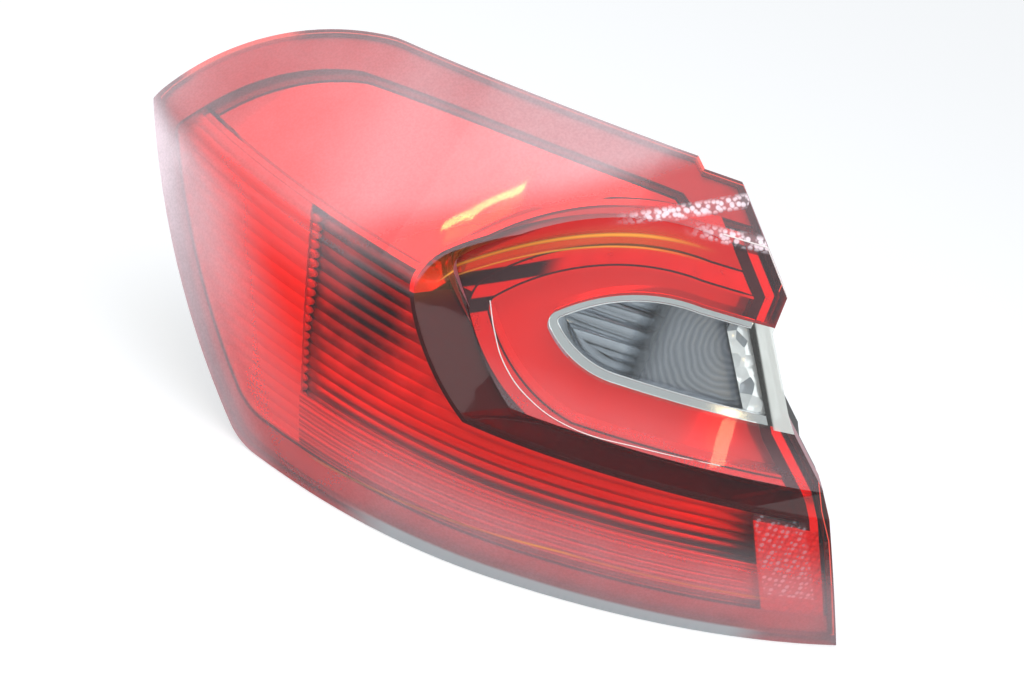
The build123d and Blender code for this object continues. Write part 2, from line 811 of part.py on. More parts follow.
end_space = carved(front_space, keep=[liner, end_cut(BAR_NEAR)], cut=[end_cut(END_GAP)]).part
end_bar_lower = carved(end_space, keep=[block(0, FAR_X, BAR_FOOT_Z, LEAF_FOOT[1])])
finish(end_bar_lower, "end_bar_lower")
end_bar_upper = carved(end_space, keep=[block(0, FAR_X, LEAF_TOP[1], BAR_HEAD_Z), band_opening])
finish(end_bar_upper, "end_bar_upper")
end_block = carved(
    round_plan(floor_section, LINER, MOUTH_SKIRT), keep=[liner, window_prism, end_cut(SLIM_NEAR)]
)
finish(end_block, "end_block")

# Bulbs in twist holders, each with its own plug inlet, and the bowls round two of them
seal_y = BACK_Y + SEAL_T
flange_y = seal_y + FLANGE_T
for name, at in BULBS.items():
    holder_body = turned(
        at,
        (0, CAP_BACK_Y),
        (CAP_R, CAP_BACK_Y),
        (CAP_R, COLLAR_FRONT_Y),
        (COLLAR_R, COLLAR_FRONT_Y),
        (COLLAR_R, HOLDER_FRONT_Y),
        (HOLDER_R, HOLDER_FRONT_Y),
        (HOLDER_R, seal_y),
        (HOLDER_FLANGE_R, seal_y),
        (HOLDER_FLANGE_R, flange_y),
        (0, flange_y),
    ).part
    with BuildPart() as holder:
        add(holder_body)
        with BuildSketch(upright(at, flange_y)):
            RectangleRounded(*INLET, INLET_R)
        extrude(amount=INLET_BACK_Y - flange_y)
        with BuildSketch(upright(at, flange_y + INLET_WALL)):
            RectangleRounded(INLET[0] - 2 * INLET_WALL, INLET[1] - 2 * INLET_WALL, INLET_R / 2)
        extrude(amount=INLET_BACK_Y - flange_y, mode=Mode.SUBTRACT)
    finish(holder, f"{name}_holder")

    cap = turned(at, (0, CAP_BACK_Y), (CAP_R, CAP_BACK_Y), (CAP_R, CAP_FRONT_Y), (0, CAP_FRONT_Y))
    finish(cap, f"{name}_bulb_cap")

    with BuildPart() as glass:
        with BuildSketch(Plane.XY.offset(at[1])):
            with BuildLine():
                reach = math.sqrt(GLASS_R**2 - NECK_R**2)
                Polyline((at[0], GLASS_Y - GLASS_R), (at[0], CAP_FRONT_Y), (at[0] + NECK_R, CAP_FRONT_Y))
                Line((at[0] + NECK_R, CAP_FRONT_Y), (at[0] + NECK_R, GLASS_Y + reach))
                ThreePointArc(
                    (at[0] + NECK_R, GLASS_Y + reach),
                    (at[0] + GLASS_R, GLASS_Y),
                    (at[0], GLASS_Y - GLASS_R),
                )
            make_face()
        revolve(axis=Axis((at[0], 0, at[1]), (0, 1, 0)))
    finish(glass, f"{name}_bulb")

    seal = turned(
        at,
        (HOLDER_R + FIT, BACK_Y),
        (HOLDER_FLANGE_R - FIT, BACK_Y),
        (HOLDER_FLANGE_R - FIT, seal_y),
        (HOLDER_R + FIT, seal_y),
    )
    finish(seal, f"{name}_holder_seal")


def bowl(at, mouth_r):
    """A dished reflector with a neck that stands on the housing's back."""
    mouth_y = BOWL_MOUTH_Y
    middle = ((BOWL_NECK_R + mouth_r) / 2 + BOWL_BELLY, (BOWL_NECK_Y + mouth_y) / 2)
    neck = BOWL_NECK_R + BOWL_WALL
    with BuildPart() as dished:
        with BuildSketch(Plane.XY.offset(at[1])):
            with BuildLine():
                Polyline(
                    (at[0] + neck, BOWL_NECK_Y),
                    (at[0] + neck, back_inner_y),
                    (at[0] + BOWL_NECK_R, back_inner_y),
                    (at[0] + BOWL_NECK_R, BOWL_NECK_Y),
                )
                ThreePointArc(
                    (at[0] + BOWL_NECK_R, BOWL_NECK_Y),
                    (at[0] + middle[0], middle[1]),
                    (at[0] + mouth_r, mouth_y),
                )
                Line((at[0] + mouth_r, mouth_y), (at[0] + mouth_r + BOWL_WALL, mouth_y))
                ThreePointArc(
                    (at[0] + mouth_r + BOWL_WALL, mouth_y),
                    (at[0] + middle[0] + BOWL_WALL, middle[1]),
                    (at[0] + neck, BOWL_NECK_Y),
                )
            make_face()
        revolve(axis=Axis((at[0], 0, at[1]), (0, 1, 0)))
    return dished


finish(bowl(STOP_AT, STOP_BOWL_R), "stop_bowl")
finish(bowl(FOG_AT, FOG_BOWL_R), "fog_bowl")

# Fixings and seals on the back
for name, at in STUDS.items():
    stud = turned(
        at,
        (0, -STUD_R),
        (2 * STUD_R, -STUD_R),
        (2 * STUD_R, 0),
        (STUD_R, 0),
        (STUD_R, STUD_LENGTH),
        (0, STUD_LENGTH),
    )
    finish(stud, name)

locator_end = LOCATOR_FOOT_Y + LOCATOR_LENGTH
locating_pin = turned(
    LOCATOR,
    (0, back_inner_y),
    (LOCATOR_SPIGOT_R, back_inner_y),
    (LOCATOR_SPIGOT_R, LOCATOR_FOOT_Y),
    (LOCATOR_R, LOCATOR_FOOT_Y),
    (LOCATOR_R, locator_end - LOCATOR_LEAD),
    (LOCATOR_R - LOCATOR_LEAD, locator_end),
    (0, locator_end),
)
finish(locating_pin, "locating_pin")

gasket_inner = GASKET_INSET + GASKET_WIDTH
gasket_hole = carved(inset_prism(gasket_inner), cut=[end_cut(gasket_inner)]).part
gasket_space = prism(lamp_outline(0, 0, 0), BACK_Y, 0)
body_gasket = carved(
    inset_prism(GASKET_INSET), keep=[gasket_space], cut=[end_cut(GASKET_INSET), gasket_hole]
)
finish(body_gasket, "body_gasket")

for number, at in enumerate(VENTS, 1):
    vent = turned(
        at,
        (0, BACK_Y),
        (VENT_NECK_R, BACK_Y),
        (VENT_NECK_R, BACK_Y + VENT_NECK),
        (VENT_R, BACK_Y + VENT_NECK),
        (VENT_R, VENT_TOP_Y),
        (0, VENT_TOP_Y),
    )
    finish(vent, f"vent_{number}")
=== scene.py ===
# %% [markdown]
# # A rear lamp cluster, dressed for the studio
# The solids of this lamp come from CAD: a red lens, a clear window and the optics behind them. This notebook
# gives each solid the finish of the real material, adds the fine lines that are too thin for the solids,
# and sets up the camera, the floor and the light.

import math

import bmesh
import bpy
from mathutils import Matrix, Vector


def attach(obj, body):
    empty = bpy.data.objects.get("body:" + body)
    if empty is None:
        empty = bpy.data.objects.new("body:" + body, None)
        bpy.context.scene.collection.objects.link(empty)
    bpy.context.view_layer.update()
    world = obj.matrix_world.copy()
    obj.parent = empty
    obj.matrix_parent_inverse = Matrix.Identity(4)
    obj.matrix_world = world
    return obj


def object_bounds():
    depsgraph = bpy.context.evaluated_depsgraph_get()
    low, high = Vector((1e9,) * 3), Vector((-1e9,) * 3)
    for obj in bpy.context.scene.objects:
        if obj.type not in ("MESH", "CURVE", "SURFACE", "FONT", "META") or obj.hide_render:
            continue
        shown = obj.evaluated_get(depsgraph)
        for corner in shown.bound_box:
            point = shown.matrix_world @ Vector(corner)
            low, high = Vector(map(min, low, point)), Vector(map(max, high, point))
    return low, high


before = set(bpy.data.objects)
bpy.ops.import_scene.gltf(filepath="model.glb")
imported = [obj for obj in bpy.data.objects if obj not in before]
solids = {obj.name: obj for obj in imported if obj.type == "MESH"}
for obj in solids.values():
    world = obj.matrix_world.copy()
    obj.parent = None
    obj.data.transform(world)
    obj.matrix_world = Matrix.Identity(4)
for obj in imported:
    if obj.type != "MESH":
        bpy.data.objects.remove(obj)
cad_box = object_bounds()
print("solids:", len(solids), "box:", [[round(v, 4) for v in corner] for corner in cad_box])

# %% [markdown]
# ## Camera
# The photograph looks down on the lamp by 25 degrees from 0.9 m away, and the lamp leans to the right in the
# picture. Turning the lamp would give that lean too, but it would leave its frame, so the camera is rolled.

# %% Camera
MM = 0.001
AIM = Vector((0, -105 * MM, 0))
DISTANCE = 0.9
ELEVATION = math.radians(25)
ROLL = math.radians(22.7)
SENSOR_WIDTH = 36
PIXELS_WIDE = 1024
FOCAL_PIXELS = 1915

camera_data = bpy.data.cameras.new("camera")
camera_data.sensor_width = SENSOR_WIDTH
camera_data.lens = FOCAL_PIXELS / PIXELS_WIDE * SENSOR_WIDTH
camera = bpy.data.objects.new("camera", camera_data)
outward = Vector((0, -math.cos(ELEVATION), math.sin(ELEVATION)))
stand = Matrix.Translation(AIM + outward * DISTANCE)
looking_in = outward.to_track_quat("Z", "Y").to_matrix().to_4x4()
camera.matrix_world = stand @ looking_in @ Matrix.Rotation(ROLL, 4, "Z")
bpy.context.scene.collection.objects.link(camera)
bpy.context.scene.camera = camera
bpy.context.scene.view_settings.view_transform = "Standard"
print("camera at", [round(v, 3) for v in camera.matrix_world.translation])

# %% [markdown]
# ## Colours and nodes
# Colours are written as the sRGB hex values that a colour picker shows. Shaders work on linear light, so one
# function turns one into the other. One more small function adds a node with its settings and its links, so
# that a material reads as a list of steps.

# %% Helpers for materials


def linear(hex_colour):
    """An sRGB hex colour as linear red, green, blue and a full alpha."""
    channels = [int(hex_colour[i : i + 2], 16) / 255 for i in (1, 3, 5)]
    return (*[c / 12.92 if c <= 0.04045 else ((c + 0.055) / 1.055) ** 2.4 for c in channels], 1)


def add(tree, kind, settings=None, **inputs):
    """A new node with its settings; an input is a value, a socket, or a node whose first output is linked."""
    node = tree.nodes.new(kind)
    for name, value in (settings or {}).items():
        setattr(node, name, value)
    for name, value in inputs.items():
        key = int(name[1:]) if name[1:].isdigit() else name.replace("_", " ")
        if isinstance(value, bpy.types.Node):
            value = value.outputs[0]
        if isinstance(value, bpy.types.NodeSocket):
            tree.links.new(value, node.inputs[key])
        else:
            node.inputs[key].default_value = value
    return node


def new_material(name):
    """An empty material and its node tree."""
    material = bpy.data.materials.new(name)
    material.use_nodes = True
    material.node_tree.nodes.clear()
    return material, material.node_tree


print("mid grey in linear light:", round(linear("#808080")[0], 3))

# %% [markdown]
# ## Floor
# The lamp lies on a sheet of white card. One flat square, far wider than the picture, stands for it and keeps
# the soft shadow under the lower edge.

# %% Floor
FLOOR_SIZE = 6
FLOOR_HEIGHT = cad_box[0][2] - 0.5 * MM
bm = bmesh.new()
bmesh.ops.create_grid(bm, x_segments=1, y_segments=1, size=FLOOR_SIZE / 2)
bmesh.ops.translate(bm, vec=(0, 0, FLOOR_HEIGHT), verts=bm.verts)
floor_mesh = bpy.data.meshes.new("floor")
bm.to_mesh(floor_mesh)
bm.free()
floor = bpy.data.objects.new("floor", floor_mesh)
bpy.context.scene.collection.objects.link(floor)
print("floor at", round(FLOOR_HEIGHT / MM, 1), "mm")

# %% [markdown]
# ### White card
# More light would make the card white, but it would bleach the lamp too. Instead the card has a weak glow of
# its own that only the camera sees, and other rays meet plain matte card.

# %% White card
# Card is matte: it gives the eye an even white with a soft shadow and no shine.
CARD_GLOW = 0.64
card, tree = new_material("white card")
rays = add(tree, "ShaderNodeLightPath")
matte = add(tree, "ShaderNodeBsdfDiffuse", Color=linear("#e6e7e8"))
shaded = add(tree, "ShaderNodeBsdfDiffuse", Color=linear("#b4b8bc"))
glow = add(tree, "ShaderNodeEmission", Color=(1, 1, 1, 1), Strength=CARD_GLOW)
lit = add(tree, "ShaderNodeAddShader", _0=shaded, _1=glow)
both = add(tree, "ShaderNodeMixShader", Fac=rays.outputs["Is Camera Ray"], _1=matte, _2=lit)
add(tree, "ShaderNodeOutputMaterial", Surface=both)
floor_mesh.materials.append(card)
print(card.name, "on the floor")

# %% [markdown]
# ## White room
# The photograph has a plain white background. Rays from the camera see white, and mirror rays see the room:
# white above, greyer towards its walls, so that plating has something to show. Rays that carry light to the
# lamp see a weaker white, so that nothing is overlit. A picture of a room could do the same, but a fade with
# height is enough here.

# %% White room


def fade(start, end, at_start=0, at_end=1):
    """The limits of a fade from one strength to another between two readings, for a Map Range node."""
    return {"From_Min": start, "From_Max": end, "To_Min": at_start, "To_Max": at_end}


AMBIENT = 0.6
WALL_TO_CEILING = fade(0, 0.6, 0.62, 1)
LARGER = {"operation": "MAXIMUM"}
world = bpy.data.worlds.new("white room")
bpy.context.scene.world = world
world.use_nodes = True
tree = world.node_tree
tree.nodes.clear()
rays = add(tree, "ShaderNodeLightPath")
mirrored = rays.outputs["Is Glossy Ray"]
seen = add(tree, "ShaderNodeMath", LARGER, _0=rays.outputs["Is Camera Ray"], _1=mirrored)
through = add(tree, "ShaderNodeMath", LARGER, _0=seen, _1=rays.outputs["Is Transmission Ray"])
place = add(tree, "ShaderNodeTexCoord")
height = add(tree, "ShaderNodeSeparateXYZ", Vector=place.outputs["Object"])
room = add(tree, "ShaderNodeMapRange", Value=height.outputs["Z"], **WALL_TO_CEILING)
level = add(tree, "ShaderNodeMix", _0=mirrored, _2=1.0, _3=room)
white = add(tree, "ShaderNodeBackground", Color=(1, 1, 1, 1), Strength=level)
dim = add(tree, "ShaderNodeBackground", Color=linear("#f4f7fa"), Strength=AMBIENT)
sky = add(tree, "ShaderNodeMixShader", Fac=through, _1=dim, _2=white)
add(tree, "ShaderNodeOutputWorld", Surface=sky)
print("white room with", AMBIENT, "of ambient light")

# %% [markdown]
# ## Lamps
# Three softboxes light the lamp from above and from both sides, and their weak power keeps colours as they
# are written. Two small warm lamps are there for their mirror images: a narrow strip draws the yellow streak
# on the upper facet, and a small square the warm glint below the window. A painted streak would stay in place
# when the view changes, and a mirrored one moves as it should.

# %% Lamps


def softbox(name, place, size, power, tint="#ffffff", width=None, turn=0):
    """A lamp that faces the lens: square, or a strip of a smaller width, turned about its own axis."""
    data = bpy.data.lights.new(name, "AREA")
    data.shape = "RECTANGLE"
    data.size = size
    data.size_y = width or size
    data.energy = power
    data.color = linear(tint)[:3]
    lamp = bpy.data.objects.new(name, data)
    aimed = (Vector(place) - AIM).to_track_quat("Z", "Y").to_matrix().to_4x4()
    lamp.matrix_world = Matrix.Translation(place) @ aimed @ Matrix.Rotation(math.radians(turn), 4, "Z")
    bpy.context.scene.collection.objects.link(lamp)
    print(name, "of", power, "W")


softbox("overhead softbox", place=(-0.15, -0.45, 0.95), size=0.9, power=4.5)
softbox("left softbox", place=(-1.0, -0.7, 0.45), size=1.5, power=4)
softbox("right softbox", place=(0.9, -0.3, 0.45), size=0.7, power=3)
softbox("small warm lamp", place=(0.654, -0.68, 0.11), size=0.04, power=0.1, tint="#ffd9a0")
STREAK = {"size": 0.22, "width": 0.009, "turn": 37}
softbox("strip lamp", place=(-0.337, -0.527, 0.801), power=0.4, tint="#ffdc78", **STREAK)

# %% [markdown]
# ## Red lens
# The lens is moulded in clear red acrylic. Sun and washing have crazed its hard coat: a milky bloom lies on
# the facet that looks up, on the side of the car and along the lower edge, and the middle has stayed clear.
# An image could carry the bloom, but it would need a flat map of a lens that wraps round a corner. Masks made
# from where a place is and which way it looks need none, and stay sharp at any size.

# %% Places and directions on the lens
# Normals turn round on the inner side of a wall, so most masks read their size without the sign.
SOFT = {"interpolation_type": "SMOOTHSTEP"}
TIMES = {"operation": "MULTIPLY"}
PLUS = {"operation": "ADD"}
MINUS = {"operation": "SUBTRACT"}
UNSIGNED = {"operation": "ABSOLUTE"}
TIMES_PLUS = {"operation": "MULTIPLY_ADD"}
red_acrylic, tree = new_material("red acrylic, sun-hazed")
place = add(tree, "ShaderNodeTexCoord")
spot = place.outputs["Object"]
where = add(tree, "ShaderNodeSeparateXYZ", Vector=spot)
x = where.outputs["X"]
z = where.outputs["Z"]
faces = add(tree, "ShaderNodeSeparateXYZ", Vector=place.outputs["Normal"])
inward = faces.outputs["X"]
upward = add(tree, "ShaderNodeMath", UNSIGNED, _0=faces.outputs["Z"])
forward = add(tree, "ShaderNodeMath", UNSIGNED, _0=faces.outputs["Y"])
print(red_acrylic.name, "starts with", len(tree.nodes), "nodes")

# %% [markdown]
# ### Patches and specks
# Weather never works evenly: the bloom has soft clouds a hand's breadth across and specks the size of sand.
# Two noise patterns at those sizes make it a little thicker or thinner.

# %% Patches and specks
CLOUD_SIZE = 60 * MM
SPECK_SIZE = 1.2 * MM
CLOUDS = fade(0.35, 0.65, 0.9, 1.1)
SPECKS = fade(0.3, 0.7, 0.94, 1.06)
cloud = add(tree, "ShaderNodeTexNoise", Vector=spot, Scale=1 / CLOUD_SIZE, Detail=5)
specks = add(tree, "ShaderNodeTexNoise", Vector=spot, Scale=1 / SPECK_SIZE, Detail=3)
cloudy = add(tree, "ShaderNodeMapRange", SOFT, Value=cloud, **CLOUDS)
speckled = add(tree, "ShaderNodeMapRange", SOFT, Value=specks, **SPECKS)
patchy = add(tree, "ShaderNodeMath", TIMES, _0=cloudy, _1=speckled)
print("clouds of", round(CLOUD_SIZE / MM), "mm, specks of", round(SPECK_SIZE / MM, 1), "mm")

# %% [markdown]
# ### Bloom on the upper facet
# The facet above the crease looks up at the sun. Its bloom grows thicker towards the middle of the car, and
# thins out past a slanting line, so that the part next to the brow stays clearer.

# %% Bloom on the upper facet
LOOKS_UP = fade(0.4, 0.62)
NOT_INWARD = fade(0.3, 0.45, 1, 0)
ABOVE_CREASE = fade(10 * MM, 35 * MM)
THICKER_INWARD = fade(-140 * MM, -20 * MM, 0.1, 0.38)
BLOOM_SLANT = -1.7
THINNER_TO_BROW = fade(-158 * MM, -130 * MM, 1, 0.3)
facing_up = add(tree, "ShaderNodeMapRange", SOFT, Value=upward, **LOOKS_UP)
not_inward = add(tree, "ShaderNodeMapRange", SOFT, Value=inward, **NOT_INWARD)
facet = add(tree, "ShaderNodeMath", TIMES, _0=facing_up, _1=not_inward)
above = add(tree, "ShaderNodeMapRange", SOFT, Value=z, **ABOVE_CREASE)
shoulder = add(tree, "ShaderNodeMath", TIMES, _0=facet, _1=above)
thicker = add(tree, "ShaderNodeMapRange", SOFT, Value=x, **THICKER_INWARD)
slant = add(tree, "ShaderNodeMath", TIMES_PLUS, _0=z, _1=BLOOM_SLANT, _2=x)
thinner = add(tree, "ShaderNodeMapRange", SOFT, Value=slant, **THINNER_TO_BROW)
along = add(tree, "ShaderNodeMath", TIMES, _0=thicker, _1=thinner)
top_bloom = add(tree, "ShaderNodeMath", TIMES, _0=shoulder, _1=along)
print("upper facet: bloom up to", THICKER_INWARD["To_Max"])

# %% [markdown]
# ### Bloom on the side, the corner and the rim
# On the side of the car the bloom is thickest at the edge of the lens and fades towards the corner and the
# foot. A little more lies below the crease by the corner, and a thin line follows the rim.

# %% Bloom on the side, the corner and the rim
IN_FROM_EDGE = fade(-195 * MM, -110 * MM, 0.8, 0)
LESS_AT_FOOT = fade(-72 * MM, 20 * MM, 0.12, 1)
UNDER_CREASE = fade(10 * MM, 30 * MM, 1, 0.2)
NEAR_CREASE = fade(-5 * MM, 22 * MM, 0, 0.11)
NEAR_CORNER = fade(-55 * MM, -90 * MM)
AT_RIM = fade(-200 * MM, -170 * MM, 0.22, 0)
from_left = add(tree, "ShaderNodeMath", PLUS, _0=x, _1=z)
edge_in = add(tree, "ShaderNodeMapRange", SOFT, Value=from_left, **IN_FROM_EDGE)
less_low = add(tree, "ShaderNodeMapRange", SOFT, Value=z, **LESS_AT_FOOT)
under = add(tree, "ShaderNodeMapRange", SOFT, Value=z, **UNDER_CREASE)
with_height = add(tree, "ShaderNodeMath", TIMES, _0=less_low, _1=under)
side_bloom = add(tree, "ShaderNodeMath", TIMES, _0=edge_in, _1=with_height)
near_crease = add(tree, "ShaderNodeMapRange", SOFT, Value=z, **NEAR_CREASE)
near_corner = add(tree, "ShaderNodeMapRange", SOFT, Value=x, **NEAR_CORNER)
corner_bloom = add(tree, "ShaderNodeMath", TIMES, _0=near_crease, _1=near_corner)
rim_bloom = add(tree, "ShaderNodeMapRange", SOFT, Value=from_left, **AT_RIM)
print("side: bloom up to", IN_FROM_EDGE["To_Min"])

# %% [markdown]
# ### Bloom on the lower edge and in the mouth
# The lower edge is dull as well, more so on the rear than at the corner. In the mouth only the plate that
# leans back a little is dull, below the window. It is told from the walls round it by its lean.

# %% Bloom on the lower edge and in the mouth
AT_LOWER_EDGE = fade(-30 * MM, -70 * MM, 0, 0.22)
MORE_ON_REAR = fade(-75 * MM, -20 * MM, 0.3, 1)
LEANS_BACK = fade(0.22, 0.28)
NOT_TOO_FAR = fade(0.4, 0.36)
LOOKS_FORWARD = fade(0.8, 0.87)
BELOW_WINDOW = fade(10 * MM, -16 * MM, 0.04, 0.15)
low = add(tree, "ShaderNodeMapRange", SOFT, Value=z, **AT_LOWER_EDGE)
on_rear = add(tree, "ShaderNodeMapRange", SOFT, Value=x, **MORE_ON_REAR)
low_bloom = add(tree, "ShaderNodeMath", TIMES, _0=low, _1=on_rear)
leaning = add(tree, "ShaderNodeMapRange", SOFT, Value=upward, **LEANS_BACK)
not_too_far = add(tree, "ShaderNodeMapRange", SOFT, Value=upward, **NOT_TOO_FAR)
plate = add(tree, "ShaderNodeMath", TIMES, _0=leaning, _1=not_too_far)
facing_out = add(tree, "ShaderNodeMapRange", SOFT, Value=forward, **LOOKS_FORWARD)
in_mouth = add(tree, "ShaderNodeMath", TIMES, _0=plate, _1=facing_out)
mouth_low = add(tree, "ShaderNodeMapRange", SOFT, Value=z, **BELOW_WINDOW)
mouth_bloom = add(tree, "ShaderNodeMath", TIMES, _0=in_mouth, _1=mouth_low)
print("lower edge: bloom up to", AT_LOWER_EDGE["To_Max"])

# %% [markdown]
# ### Prism rows
# Two rows of small prisms run along the upper arm to its inner end, and their white sparkle is painted: each
# row is a soft band about a sloping line, broken into bright cells of painted glint by a Voronoi pattern with
# cells as large as the prisms. Modelled prisms would be hidden in the wall of the lens and would look no
# different.

# %% Prism rows in the upper arm


def band(tree, reading, middle, half, soft, strength=1):
    """A mask that is full as far as half from the middle, and fades to nothing over a soft edge."""
    off = add(tree, "ShaderNodeMath", MINUS, _0=reading, _1=middle)
    far = add(tree, "ShaderNodeMath", UNSIGNED, _0=off)
    return add(tree, "ShaderNodeMapRange", SOFT, Value=far, **fade(half, half + soft, strength, 0))


PRISM_SIZE = 2.4 * MM
PRISM_GLINT = fade(0.35, 0.7, 0.85, 0.1)
ROWS = [
    {"base": 67.5 * MM, "slope": 0.44, "start": 18 * MM, "end": 76 * MM},
    {"base": 80 * MM, "slope": 0.07, "start": 50 * MM, "end": 96 * MM},
]
ROW_HALF = 1.5 * MM
ROW_SOFT = 2.5 * MM
ROW_START = 25 * MM
cells = add(tree, "ShaderNodeTexVoronoi", Vector=spot, Scale=1 / PRISM_SIZE)
# The bright cells are painted glints, mixed into the bloom as matte white.
bright = add(tree, "ShaderNodeMapRange", SOFT, Value=cells.outputs["Distance"], **PRISM_GLINT)
painted_sparkle_rows = []
for row in ROWS:
    line = add(tree, "ShaderNodeMath", TIMES_PLUS, _0=x, _1=row["slope"], _2=row["base"])
    on_line = band(tree, z, line, ROW_HALF, ROW_SOFT)
    starts = add(tree, "ShaderNodeMapRange", SOFT, Value=x, **fade(row["start"], row["start"] + ROW_START))
    ends = add(tree, "ShaderNodeMath", {"operation": "LESS_THAN"}, _0=x, _1=row["end"])
    reach = add(tree, "ShaderNodeMath", TIMES, _0=starts, _1=ends)
    strip = add(tree, "ShaderNodeMath", TIMES, _0=on_line, _1=reach)
    painted_sparkle_rows.append(add(tree, "ShaderNodeMath", TIMES, _0=strip, _1=bright))
print("prism rows:", len(painted_sparkle_rows))

# %% [markdown]
# ### Corner cubes at the toe
# The lens has corner cubes on its inner face over the retro reflector, and the light they throw back is
# painted as pale dots. The patch leans with the inner end, so one pair of its sides is a band of a sloping
# reading and the other a band of height. The cells are drawn as in the prism rows, but nearly in rows.

# %% Corner cubes in the lens
CUBE_SIZE = 3.2 * MM
CUBE_STRAY = 0.35
CUBE_GLINT = fade(0.2, 0.5, 0.2, 0.03)
TOE_LEAN = 0.54
TOE_ACROSS = {"middle": 135 * MM, "half": 12 * MM}
TOE_UPWARD = {"middle": -44.5 * MM, "half": 21.5 * MM}
TOE_SOFT = 1.5 * MM
leant = add(tree, "ShaderNodeMath", TIMES_PLUS, _0=z, _1=TOE_LEAN, _2=x)
toe_across = band(tree, leant, soft=TOE_SOFT, **TOE_ACROSS)
toe_upward = band(tree, z, soft=TOE_SOFT, **TOE_UPWARD)
toe = add(tree, "ShaderNodeMath", TIMES, _0=toe_across, _1=toe_upward)
cubes = add(tree, "ShaderNodeTexVoronoi", Vector=spot, Scale=1 / CUBE_SIZE, Randomness=CUBE_STRAY)
dots = add(tree, "ShaderNodeMapRange", SOFT, Value=cubes.outputs["Distance"], **CUBE_GLINT)
# The pale dots are painted glints of light thrown back, mixed into the bloom.
toe_painted_glints = add(tree, "ShaderNodeMath", TIMES, _0=toe, _1=dots)
print("toe patch:", round(2 * TOE_ACROSS["half"] / MM), "by", round(2 * TOE_UPWARD["half"] / MM), "mm")

# %% [markdown]
# ### Glow of the nose
# Light runs along the acrylic and leaves it where the wall turns sharply. A little of that glow is painted on
# the wall at the nose of the mouth as a warm matte layer, high up and on its left side.

# %% Glow of the nose
LOOKS_INWARD = fade(0.55, 0.68)
NOSE_HIGH = fade(16 * MM, 30 * MM, 0, 0.1)
NOSE_LEFT = fade(-15 * MM, -30 * MM)
facing_in = add(tree, "ShaderNodeMapRange", SOFT, Value=inward, **LOOKS_INWARD)
nose_high = add(tree, "ShaderNodeMapRange", SOFT, Value=z, **NOSE_HIGH)
nose_left = add(tree, "ShaderNodeMapRange", SOFT, Value=x, **NOSE_LEFT)
nose_wall = add(tree, "ShaderNodeMath", TIMES, _0=facing_in, _1=nose_left)
# The glow is painted light: a warm matte layer, not a lamp.
nose_glow = add(tree, "ShaderNodeMath", TIMES, _0=nose_wall, _1=nose_high)
print("nose: glow up to", NOSE_HIGH["To_Max"])

# %% [markdown]
# ### Painted orange highlights under the brow
# The wall under the brow has two fine moulded steps; their orange highlights are painted on as two warm
# lines, with a faint painted glow about them. They follow the brow, which is close to a parabola, so the
# height with the parabola taken out is the same all along a step. Beads behind the lens would look like dark
# wires, because they give no light.

# %% Painted orange highlights under the brow
BROW_END = 63 * MM
BROW_BEND = 4.7
FROM_NOSE = fade(-44 * MM, -36 * MM)
TO_BROW_END = fade(30 * MM, 75 * MM, 1, 0)
BELOW_FACET = fade(0.5, 0.42)
PAINTED_STEP_HIGHLIGHTS = [
    {"middle": 77.5 * MM, "soft": 1.3 * MM, "strength": 0.8},
    {"middle": 72 * MM, "soft": 0.8 * MM, "strength": 0.6},
    {"middle": 76 * MM, "soft": 8 * MM, "strength": 0.16},
]
across = add(tree, "ShaderNodeMath", MINUS, _0=BROW_END, _1=x)
squared = add(tree, "ShaderNodeMath", TIMES, _0=across, _1=across)
unbent = add(tree, "ShaderNodeMath", TIMES_PLUS, _0=squared, _1=BROW_BEND, _2=z)
from_nose = add(tree, "ShaderNodeMapRange", SOFT, Value=x, **FROM_NOSE)
to_end = add(tree, "ShaderNodeMapRange", SOFT, Value=x, **TO_BROW_END)
below_facet = add(tree, "ShaderNodeMapRange", SOFT, Value=upward, **BELOW_FACET)
reach = add(tree, "ShaderNodeMath", TIMES, _0=from_nose, _1=to_end)
under_brow = add(tree, "ShaderNodeMath", TIMES, _0=reach, _1=below_facet)
painted_step_highlights = []
# Two bands are painted highlights along the steps; the third is the faint painted glow about them.
for step in PAINTED_STEP_HIGHLIGHTS:
    on_step = band(tree, unbent, half=0, **step)
    painted_step_highlights.append(add(tree, "ShaderNodeMath", TIMES, _0=on_step, _1=under_brow))
print("glows under the brow:", len(painted_step_highlights))

# %% [markdown]
# ### Painted bright line along the lower edge
# The lower optic ends in a thin line whose warm highlight is painted on, strongest where it would catch a
# lamp. It runs level along the rear and dips towards the corner, so the dip is taken out of the height before
# the band is drawn.

# %% Bright line along the lower edge
LINE_HEIGHT = -69.8 * MM
LINE_SOFT = 1.2 * MM
LINE_BEND = 60 * MM
LINE_DIP = 0.07
LINE_PEAK = 48 * MM
PEAK_TO_REST = fade(0, 28 * MM, 0.55, 0.18)
LINE_STARTS = fade(-72 * MM, -58 * MM)
LINE_ENDS = fade(165 * MM, 150 * MM)
past_bend = add(tree, "ShaderNodeMath", MINUS, _0=x, _1=LINE_BEND)
dipping = add(tree, "ShaderNodeMath", {"operation": "MINIMUM"}, _0=past_bend, _1=0.0)
undipped = add(tree, "ShaderNodeMath", TIMES_PLUS, _0=dipping, _1=-LINE_DIP, _2=z)
on_line = band(tree, undipped, LINE_HEIGHT, 0, LINE_SOFT)
aside = add(tree, "ShaderNodeMath", MINUS, _0=x, _1=LINE_PEAK)
from_peak = add(tree, "ShaderNodeMath", UNSIGNED, _0=aside)
strength = add(tree, "ShaderNodeMapRange", SOFT, Value=from_peak, **PEAK_TO_REST)
line_starts = add(tree, "ShaderNodeMapRange", SOFT, Value=x, **LINE_STARTS)
line_ends = add(tree, "ShaderNodeMapRange", SOFT, Value=x, **LINE_ENDS)
reach = add(tree, "ShaderNodeMath", TIMES, _0=line_starts, _1=line_ends)
